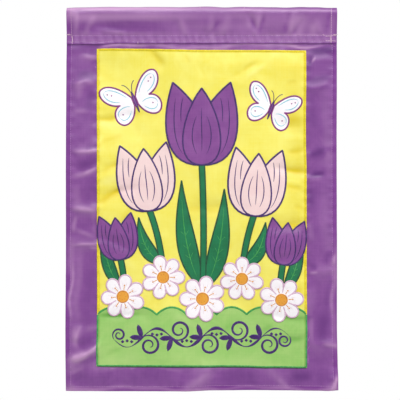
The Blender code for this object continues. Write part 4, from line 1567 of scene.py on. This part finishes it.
def patch(node, outline, level, material, size=None):
    """A sewn-on piece that puffs up a little inside its border. size, its width and length where those
    aren't its extent across and up, is not used."""
    mesh = cut_outline(outline)
    spots = np.array([(vert.co.x, vert.co.z) for vert in mesh.verts])
    puff = PATCH_PUFF * (1 - bell(distance_to(outline, spots), PUFF_REACH))
    for vert, height in zip(mesh.verts, puff):
        vert.co.y = -height
    give_body(mesh, level, PATCH_THICKNESS)
    piece = make_piece(f"{node}_patch", mesh, material, nodes=[node], tone=None)
    if size is None:
        size = outline.max(0) - outline.min(0)


def border(mesh, outline, level, width, under=(), base=BEHIND):
    """Sews a patch to the panel with satin all round."""
    satin(mesh, outline, level, base, width, closed=True, under=under, back=PANEL_BACK)


# %% [markdown]
# ### Daisies
# Five white daisies hide the foot of every stem. Their seven petals are one patch, as on the real kind
# of flag, where thread alone divides the petals. A formula gives the outline: the root of a sine is
# round at each petal's tip and sharp in the notch between two.

# %% The daisies
LEAF_LEVEL, STEM_LEVEL, SIDE_LEVEL, FRONT_LEVEL, DAISY_LEVEL, EYE_LEVEL = (
    MM * level for level in (1.46, 1.64, 1.82, 2.00, 2.18, 2.42)
)
# Places and sizes are in millimetres, across from the middle and up from the panel's foot.
Daisy = namedtuple("Daisy", "name across rise radius turn")
DAISIES = (
    Daisy("daisy_1", -94, 84, 26.0, 4),
    Daisy("daisy_2", -46, 107, 25.5, 25),
    Daisy("daisy_3", 1, 81, 27.0, 0),
    Daisy("daisy_4", 48, 105, 25.5, 12),
    Daisy("daisy_5", 95, 80, 26.0, 30),
)
PETALS = 7
PETAL_SPOTS = 16
NOTCH = 0.55
EYE = 0.26
EYE_SPOTS = 24
PETAL_BORDER = 2.3 * MM
EYE_BORDER = 1.8 * MM
# The lines in a petal: how far from its middle in turns, where they start and where they end.
PETAL_LINES = ((-0.022, 0.42, 0.70), (0.022, 0.42, 0.66))
PETAL_LINE_SINK = 0.16 * MM
PETAL_LINE_WIDTH = 1.0 * MM
# The lines out of the notches and round the eye.
NOTCH_LINE = (0.32, 0.56)
NOTCH_LINE_WIDTH = 1.6 * MM
EYE_LINE = (0.30, 0.49)
EYE_LINE_WIDTH = 1.3 * MM
# The knots at those lines' ends and on the eye: how far out, their level and their radius.
OUTER_KNOT = (0.52, DAISY_LEVEL + 0.25 * MM, 1.1 * MM)
INNER_KNOT = (0.14, EYE_LEVEL + 0.2 * MM, 0.75 * MM)


def round_spots(count, reach):
    angle = 2 * math.pi * np.arange(count) / count
    return np.column_stack([np.cos(angle), np.sin(angle)]) * np.reshape(reach, (-1, 1))


def daisy_outline():
    count = PETALS * PETAL_SPOTS
    bulge = np.sqrt(np.abs(np.sin(math.pi * PETALS * np.arange(count) / count)))
    return round_spots(count, NOTCH + (1 - NOTCH) * bulge)


def ray(turn, start, end):
    """A line out from the middle, at a share of a full turn."""
    way = heading(2 * math.pi * turn)
    return np.array([way * start, way * end])


def make_daisy(daisy):
    spot = (daisy.across, daisy.rise, daisy.radius, daisy.radius, daisy.turn)
    outline = set_down(daisy_outline(), *spot)
    eye = set_down(round_spots(EYE_SPOTS, EYE), *spot)
    patch(f"{daisy.name}_petals", outline, DAISY_LEVEL, "white_nylon")
    patch(f"{daisy.name}_eye", eye, EYE_LEVEL, "gold_nylon")
    pale, gold = bmesh.new(), bmesh.new()
    border(pale, outline, DAISY_LEVEL, PETAL_BORDER)
    satin(gold, eye, EYE_LEVEL, DAISY_LEVEL, EYE_BORDER, closed=True)
    low = DAISY_LEVEL - HAIR
    for petal in range(PETALS):
        notch, middle = petal / PETALS, (petal + 0.5) / PETALS
        satin(pale, set_down(ray(notch, *NOTCH_LINE), *spot), low, DAISY_LEVEL, NOTCH_LINE_WIDTH)
        for aside, start, end in PETAL_LINES:
            line = set_down(ray(middle + aside, start, end), *spot)
            fine_line(pale, line, DAISY_LEVEL - PETAL_LINE_SINK, DAISY_LEVEL, PETAL_LINE_WIDTH)
        satin(gold, set_down(ray(middle, *EYE_LINE), *spot), low, DAISY_LEVEL, EYE_LINE_WIDTH)
        for turn, (reach, level, radius) in ((middle, OUTER_KNOT), (notch, INNER_KNOT)):
            knot(gold, set_down(ray(turn, 0, reach), *spot)[1], level, radius)
    sewn(f"{daisy.name}_petal_stitching", pale, "pink_thread")
    sewn(f"{daisy.name}_eye_stitching", gold, "gold_thread")
    return outline


daisy_fronts = [make_daisy(daisy) for daisy in DAISIES]
print(len(daisy_fronts), "daisies")

# %% [markdown]
# ### Tulips
# A tulip head is a front petal over two side petals that hold it like hands. The veins are thinner
# satin, drawn in at both ends.

# %% The tulips
Tulip = namedtuple("Tulip", "name across rise width height lean cloth")
TULIPS = (
    Tulip("tulip_1", 0, 241, 82, 98, 0, "violet_nylon"),
    Tulip("tulip_2", -63, 186, 66, 80, 5, "pink_nylon"),
    Tulip("tulip_3", 63, 180, 66, 80, -4, "pink_nylon"),
    Tulip("tulip_4", -97, 128, 46, 54, 7, "violet_nylon"),
    Tulip("tulip_5", 97, 122, 46, 54, -7, "violet_nylon"),
)
BIG_TULIP = 60
SMALL_WIDTH = 2.2 * MM
VEIN_SHARE = 0.58
front_edge = curve((0, 0), (0.43, 0.0), (0.30, 0.62), (0, 0.93))
front_petal = np.vstack([front_edge, curve((0, 0.93), (-0.30, 0.62), (-0.43, 0.0), (0, 0))])
side_edge = curve((0, 0), (0.58, -0.02), (0.60, 0.55), (0.42, 1.0))
inner_edge = curve((0.42, 1.0), (0.27, 0.90), (0.14, 0.78), (0.02, 0.62))
side_petal = np.vstack([side_edge, inner_edge, [(0.02, 0.62)]])
FRONT_VEINS = (
    stroke((0.0, 0.16), (0.01, 0.34), (-0.01, 0.50), (0.0, 0.70)),
    stroke((-0.07, 0.13), (-0.17, 0.28), (-0.15, 0.46), (-0.07, 0.60)),
    stroke((0.07, 0.13), (0.17, 0.28), (0.15, 0.46), (0.07, 0.60)),
)
SIDE_VEINS = (
    stroke((0.27, 0.13), (0.40, 0.26), (0.43, 0.52), (0.38, 0.82)),
    stroke((0.30, 0.52), (0.31, 0.66), (0.30, 0.74), (0.27, 0.82)),
)


def make_tulip(tulip):
    spot = (tulip.across, tulip.rise, tulip.width, tulip.height, tulip.lean)
    front = set_down(front_petal, *spot)
    sides = {"right": set_down(side_petal, *spot), "left": set_down(mirrored(side_petal), *spot)}
    patch(f"{tulip.name}_front_petal", front, FRONT_LEVEL, tulip.cloth)
    for side, outline in sides.items():
        patch(f"{tulip.name}_{side}_petal", outline, SIDE_LEVEL, tulip.cloth)
    mesh = bmesh.new()
    width = SATIN_WIDTH if tulip.width > BIG_TULIP else SMALL_WIDTH
    border(mesh, front, FRONT_LEVEL, width, daisy_fronts)
    for outline in sides.values():
        border(mesh, outline, SIDE_LEVEL, width, [front, *daisy_fronts])
    for line in FRONT_VEINS:
        fine_line(mesh, set_down(line, *spot), FRONT_LEVEL, FRONT_LEVEL, width * VEIN_SHARE)
    for vein in SIDE_VEINS:
        for line in (vein, mirrored(vein)):
            fine_line(mesh, set_down(line, *spot), SIDE_LEVEL, SIDE_LEVEL, width * VEIN_SHARE, under=[front])
    sewn(f"{tulip.name}_stitching", mesh, "violet_thread")
    return [front, *sides.values()]


tulip_fronts = [outline for tulip in TULIPS for outline in make_tulip(tulip)]
print(len(tulip_fronts), "petals in", len(TULIPS), "tulips")

# %% [markdown]
# ### Stems and leaves
# Both are strips along a bent line. A stem keeps its width, and a leaf swells and ends in a point. The
# border is dark, and a leaf has a lighter rib.

# %% The stems and leaves
Blade = namedtuple("Blade", "name root bend tip width")
STEMS = (
    Blade("stem_1", (1, 84), (4, 170), (0, 245), 6.4),
    Blade("stem_2", (-46, 110), (-48, 150), (-63.3, 190), 6.4),
    Blade("stem_3", (48, 108), (50, 146), (63.3, 184), 6.4),
    Blade("stem_4", (-92, 86), (-92, 110), (-97.3, 132), 6.4),
    Blade("stem_5", (93, 82), (93, 104), (97.3, 126), 6.4),
)
LEAVES = (
    Blade("leaf_1", (-2, 100), (-24, 140), (-24, 222), 20),
    Blade("leaf_2", (6, 98), (26, 134), (27, 212), 20),
    Blade("leaf_3", (-48, 126), (-71, 134), (-75, 178), 15),
    Blade("leaf_4", (50, 124), (72, 130), (76, 172), 15),
    Blade("leaf_5", (-98, 100), (-116, 112), (-119, 176), 13),
    Blade("leaf_6", (99, 96), (116, 108), (119, 170), 13),
)
BLADE_STEPS = 30
STEM_BORDER = 1.7 * MM
LEAF_BORDER = 2.0 * MM
# How a leaf swells: where it is widest, how wide it gets, and how blunt its root is.
LEAF_POWER = 0.85
LEAF_FULL = 0.98
LEAF_ROOT = 0.25
RIB_SPAN = (0.08, 0.86)
RIB_WIDTH = 1.3 * MM
# The side ribs: where they start, how long they are as a share of the width, and how far they lean on.
SIDE_RIBS = (0.3, 0.45, 0.6)
SIDE_RIB_REACH = 0.26
SIDE_RIB_LEAN = 1.2
SIDE_RIB_SINK = 0.12 * MM
SIDE_RIB_WIDTH = 0.8 * MM


def blade_line(blade, start=0.0, end=1.0):
    """The bent line of a blade between two shares of its length, and the direction square to it."""
    root, bend, tip = (np.array(spot) * MM for spot in (blade.root, blade.bend, blade.tip))
    t = np.linspace(start, end, BLADE_STEPS + 1)[:, None]
    line = (1 - t) ** 2 * root + 2 * (1 - t) * t * bend + t * t * tip
    way = 2 * (1 - t) * (bend - root) + 2 * t * (tip - bend)
    way /= np.hypot(*way.T)[:, None]
    return line + (0, rise_z(0)), np.column_stack([way[:, 1], -way[:, 0]]), t[:, 0]


def blade_outline(blade, pointed):
    line, across, t = blade_line(blade)
    half = np.full(len(t), blade.width / 2 * MM)
    if pointed:
        half *= np.sin(math.pi * t**LEAF_POWER) * LEAF_FULL + LEAF_ROOT * (1 - t)
        half[-1] = 0
    right, left = line + half[:, None] * across, line - half[:, None] * across
    return np.vstack([right, left[-2 if pointed else -1 :: -1]])


def blade_size(blade):
    line = blade_line(blade)[0]
    return blade.width * MM, float(np.hypot(*np.diff(line, axis=0).T).sum())


def make_stem(stem):
    outline = blade_outline(stem, pointed=False)
    patch(stem.name, outline, STEM_LEVEL, "leaf_nylon", blade_size(stem))
    mesh = bmesh.new()
    border(mesh, outline, STEM_LEVEL, STEM_BORDER, [*daisy_fronts, *tulip_fronts])
    sewn(f"{stem.name}_stitching", mesh, "dark_green_thread")
    return outline


def make_leaf(leaf):
    outline = blade_outline(leaf, pointed=True)
    patch(leaf.name, outline, LEAF_LEVEL, "leaf_nylon", blade_size(leaf))
    edge, rib = bmesh.new(), bmesh.new()
    over = [*daisy_fronts, *tulip_fronts, *stem_fronts]
    border(edge, outline, LEAF_LEVEL, LEAF_BORDER, over)
    line, across, _ = blade_line(leaf, *RIB_SPAN)
    fine_line(rib, line, LEAF_LEVEL, LEAF_LEVEL, RIB_WIDTH, under=over)
    low = LEAF_LEVEL - SIDE_RIB_SINK
    for share in SIDE_RIBS:
        at = int(share * BLADE_STEPS)
        root, ahead = line[at], SIDE_RIB_LEAN * unit(line[at + 2] - line[at])
        for side in (-1, 1):
            tip = root + leaf.width * SIDE_RIB_REACH * MM * (side * across[at] + ahead)
            fine_line(rib, [root, tip], low, LEAF_LEVEL, SIDE_RIB_WIDTH, under=over)
    sewn(f"{leaf.name}_border_stitching", edge, "dark_green_thread")
    sewn(f"{leaf.name}_rib_stitching", rib, "green_thread")


stem_fronts = [make_stem(stem) for stem in STEMS]
for leaf in LEAVES:
    make_leaf(leaf)
print(len(stem_fronts), "stems and", len(LEAVES), "leaves")

# %% [markdown]
# ### Butterflies
# Each has a pair of white wings on either side, with a bright border and a pale blue line inside it, and
# a narrow violet body.

# %% The butterflies
Butterfly = namedtuple("Butterfly", "name across rise span turn")
BUTTERFLIES = (
    Butterfly("butterfly_1", -80, 318, 37, 22),
    Butterfly("butterfly_2", 83, 308, 33, -20),
)
WING_ROOT = 0.065
BODY_HALF = 0.045
right_wings = np.vstack(
    [
        curve((WING_ROOT, 0.12), (0.28, 0.52), (0.66, 0.86), (0.93, 0.70)),
        curve((0.93, 0.70), (1.10, 0.55), (0.92, 0.10), (0.50, 0.02)),
        curve((0.50, 0.02), (0.86, -0.06), (0.84, -0.52), (0.60, -0.62)),
        curve((0.60, -0.62), (0.38, -0.68), (0.14, -0.44), (WING_ROOT, -0.14)),
        [(WING_ROOT, -0.14)],
    ]
)
body = np.vstack(
    [
        curve((0, 0.30), (BODY_HALF, 0.24), (BODY_HALF, -0.14), (0, -0.40)),
        curve((0, -0.40), (-BODY_HALF, -0.14), (-BODY_HALF, 0.24), (0, 0.30)),
    ]
)
WING_LINES = (
    stroke((0.20, 0.16), (0.36, 0.42), (0.64, 0.70), (0.84, 0.60)),
    stroke((0.84, 0.60), (0.93, 0.48), (0.80, 0.20), (0.46, 0.12)),
    stroke((0.20, -0.14), (0.36, -0.02), (0.74, -0.10), (0.66, -0.34)),
    stroke((0.66, -0.34), (0.60, -0.52), (0.40, -0.54), (0.22, -0.26)),
)
WING_SPOTS = ((0.64, 0.42), (0.76, 0.50), (0.52, -0.28))
FEELER = stroke((0.02, 0.28), (0.06, 0.48), (0.12, 0.58), (0.22, 0.62))
PATCH_LEVEL = 1.50 * MM
WING_BORDER = 2.2 * MM
WING_LINE_WIDTH = 1.3 * MM
WING_KNOT_LIFT = 0.2 * MM
WING_KNOT_RADIUS = 1.0 * MM
FEELER_WIDTH = 0.9 * MM
BODY_BORDER = 1.3 * MM


def make_butterfly(fly):
    spot = (fly.across, fly.rise, fly.span, fly.span, fly.turn)
    bright, blue, dark = bmesh.new(), bmesh.new(), bmesh.new()
    for side, flip in (("right", np.asarray), ("left", mirrored)):
        outline = set_down(flip(right_wings), *spot)
        patch(f"{fly.name}_{side}_wings", outline, PATCH_LEVEL, "white_nylon")
        border(bright, outline, PATCH_LEVEL, WING_BORDER, base=PANEL_FRONT)
        for line in WING_LINES:
            fine_line(blue, set_down(flip(line), *spot), PATCH_LEVEL, PATCH_LEVEL, WING_LINE_WIDTH)
        for at in set_down(flip(WING_SPOTS), *spot):
            knot(bright, at, PATCH_LEVEL + WING_KNOT_LIFT, WING_KNOT_RADIUS)
        feeler = set_down(flip(FEELER), *spot)
        satin(dark, feeler, PANEL_FRONT, PANEL_FRONT, FEELER_WIDTH, back=PANEL_BACK)
    outline = set_down(body, *spot)
    patch(f"{fly.name}_body", outline, PATCH_LEVEL, "violet_nylon")
    border(dark, outline, PATCH_LEVEL, BODY_BORDER, base=PANEL_FRONT)
    sewn(f"{fly.name}_border_stitching", bright, "magenta_thread")
    sewn(f"{fly.name}_inner_stitching", blue, "aqua_thread")
    sewn(f"{fly.name}_body_stitching", dark, "violet_thread")


for fly in BUTTERFLIES:
    make_butterfly(fly)
print(len(BUTTERFLIES), "butterflies")

# %% [markdown]
# ### The vine on the grass
# A winding vine of dark satin fills the green foot, with curled tendrils, leaves and berries. Each turn
# of the wave carries one set of them, so a loop places all of it. The line is thick and thin in turn, as
# a machine sews a vine.

# %% The vine
VINE_REACH = 104 * MM
VINE_RISE = 35 * MM
VINE_SWING = 11 * MM
VINE_PITCH = 71 * MM
VINE_SPOTS = 300
VINE_WIDTH = 4.4 * MM
# How often the line is thick, how much of its width comes and goes, and how blunt its ends are.
VINE_SWELLS = 9
SWELL_SHARE = 0.34
BLUNT_SHARE = 0.02
TENDRIL_RADIUS = 12.5 * MM
TENDRIL_WIDTH = 3.2 * MM
END_RADIUS = 8 * MM
END_WIDTH = 2.6 * MM
CURL_TURN = 3.2 * math.pi
CURL_SPOTS = 80
CURL_POWER = 0.8
CURL_CORE = 0.14
# The vine's leaves: how far each leans along the vine, and its length.
VINE_LEAVES = ((0.5, 17 * MM), (-0.9, 15 * MM))
VINE_LEAF_WIDTH = 6.4 * MM
# Three berries in a bow over each crest, in millimetres.
BERRY_STEP = 5.4
BERRY_RISE = 7.5
BERRY_LIFT = 0.2 * MM
BERRY_RADIUS = 2.0 * MM


def vine_spot(x):
    return np.column_stack([x, rise_z(VINE_RISE + VINE_SWING * np.sin(2 * math.pi * x / VINE_PITCH))])


def vine_way(x):
    """Where the vine is at x, and which way it runs there."""
    at, ahead = vine_spot(np.array([x, x + 1 * MM]))
    return at, unit(ahead - at)


def uneven_width(share):
    swell = 1 - SWELL_SHARE + SWELL_SHARE * np.sin(2 * math.pi * VINE_SWELLS * share)
    return swell * thin_ends(np.clip(share, BLUNT_SHARE, 1 - BLUNT_SHARE))


def tendril(start, way, side, radius):
    """A curl that leaves the vine along way and winds up on one side of it."""
    across = side * square_to(way)
    angle = np.linspace(0, CURL_TURN, CURL_SPOTS)[:, None]
    reach = radius * ((1 - angle / CURL_TURN) ** CURL_POWER * (1 - CURL_CORE) + CURL_CORE)
    return start + across * radius + reach * (np.sin(angle) * way - np.cos(angle) * across)


def make_vine():
    mesh = bmesh.new()
    level = BAND_FRONT
    line = vine_spot(np.linspace(-VINE_REACH, VINE_REACH, VINE_SPOTS))
    satin(mesh, line, level, level, VINE_WIDTH, profile=uneven_width, back=PANEL_BACK)
    turn = VINE_PITCH / 2
    count = int(VINE_REACH / turn)
    for step in range(-count, count + 1):
        side = 1 if step % 2 else -1
        at, way = vine_way(step * turn)
        curl = tendril(at, way, side, TENDRIL_RADIUS)
        fine_line(mesh, curl, level, level, TENDRIL_WIDTH, back=PANEL_BACK)
        for lean, size in VINE_LEAVES:
            tip = at + size * unit(way * lean - side * square_to(way))
            fine_line(mesh, [at, tip], level + HAIR, level, VINE_LEAF_WIDTH)
    for step in range(-count - 1, count + 1):
        side = 1 if step % 2 else -1
        crest = vine_spot(np.array([(step + 0.5) * turn]))[0]
        for berry in (-1, 0, 1):
            spot = crest + (berry * BERRY_STEP * MM, side * (BERRY_RISE - abs(berry)) * MM)
            knot(mesh, spot, level + BERRY_LIFT, BERRY_RADIUS)
    for end in (-1, 1):
        at, way = vine_way(end * VINE_REACH)
        curl = tendril(at, way * end, -1, END_RADIUS)
        fine_line(mesh, curl, level, level, END_WIDTH, back=PANEL_BACK)
    return sewn("vine_stitching", mesh, "violet_thread")


vine = make_vine()
print("vine:", len(vine.data.polygons), "faces")

# %% [markdown]
# ## Stage, light and camera
# The flag is shown against white, lit softly from above and in front, so that the upper slope of each
# fold is bright. The lamps are large areas, because small ones would put hard glints on the nylon. The
# world is white where the camera sees it and dimmer as a light.

# %% The floor and the world
FLOOR_DROP = 0.95
FLOOR_HALF = 2.4
FLOOR_CELLS = 8
FLOOR_TONES = ((226, 225, 223), (232, 231, 229))
FLOOR_MOTTLE = 0.3
FLOOR_ROUGHNESS = 0.7


def make_floor():
    mesh = bmesh.new()
    bmesh.ops.create_grid(mesh, x_segments=FLOOR_CELLS, y_segments=FLOOR_CELLS, size=FLOOR_HALF)
    bmesh.ops.translate(mesh, verts=mesh.verts[:], vec=(0, 0, -FLOOR_DROP))
    floor = show("floor", to_data("floor", mesh))
    material, tree, shader, at = new_material("pale_floor")
    mottle = group_node(tree, mottle_group, Vector=at, Size=FLOOR_MOTTLE)
    colour = mix_colours(tree, mottle, *map(linear, FLOOR_TONES))
    feed(tree, shader, {"Base Color": colour, "Roughness": FLOOR_ROUGHNESS})
    floor.data.materials.append(material)


def make_world(seen, light):
    world = bpy.data.worlds.new("studio")
    bpy.context.scene.world = world
    world.use_nodes = True
    tree = world.node_tree
    by_camera = add_node(tree, "ShaderNodeLightPath").outputs["Is Camera Ray"]
    strength = rescale(tree, by_camera, new=(light, seen))
    feed(tree, tree.nodes["Background"], {"Color": (1, 1, 1, 1), "Strength": strength})


make_floor()
make_world(seen=1.0, light=0.32)
print("floor", FLOOR_DROP, "m below the rod")

# %% The lamps and the camera
Lamp = namedtuple("Lamp", "name place width height power")
LAMPS = (
    Lamp("top_softbox", (0.5, -2.2, 2.6), 3.0, 1.8, 92),
    Lamp("streak_softbox", (0.15, -1.15, 0.42), 1.3, 0.16, 3),
    Lamp("low_softbox", (0.0, -1.4, -1.2), 1.6, 0.5, 4),
    Lamp("left_softbox", (-1.4, -0.7, 0.0), 0.6, 1.0, 2),
    Lamp("right_softbox", (1.3, -0.9, 0.3), 0.6, 1.0, 3),
)
MIDDLE = Vector((0, 0, (TOP + FOOT) / 2))
CAMERA_PLACE = Vector((-2.0 * MM, -1.326, -222 * MM))


def aim(placed, at):
    placed.rotation_euler = (at - placed.location).to_track_quat("-Z", "Y").to_euler()


for lamp in LAMPS:
    light = bpy.data.lights.new(lamp.name, "AREA")
    light.shape = "RECTANGLE"
    light.size, light.size_y, light.energy = lamp.width, lamp.height, lamp.power
    placed = show(lamp.name, light)
    placed.location = lamp.place
    aim(placed, MIDDLE)

camera_data = bpy.data.cameras.new("camera")
camera_data.lens = 100
camera_data.sensor_width = 36
camera = show("camera", camera_data)
camera.location = CAMERA_PLACE
aim(camera, CAMERA_PLACE + Vector((0, 1, 0)))
bpy.context.scene.camera = camera
bpy.context.scene.view_settings.view_transform = "Standard"
print("camera", tuple(camera.location))
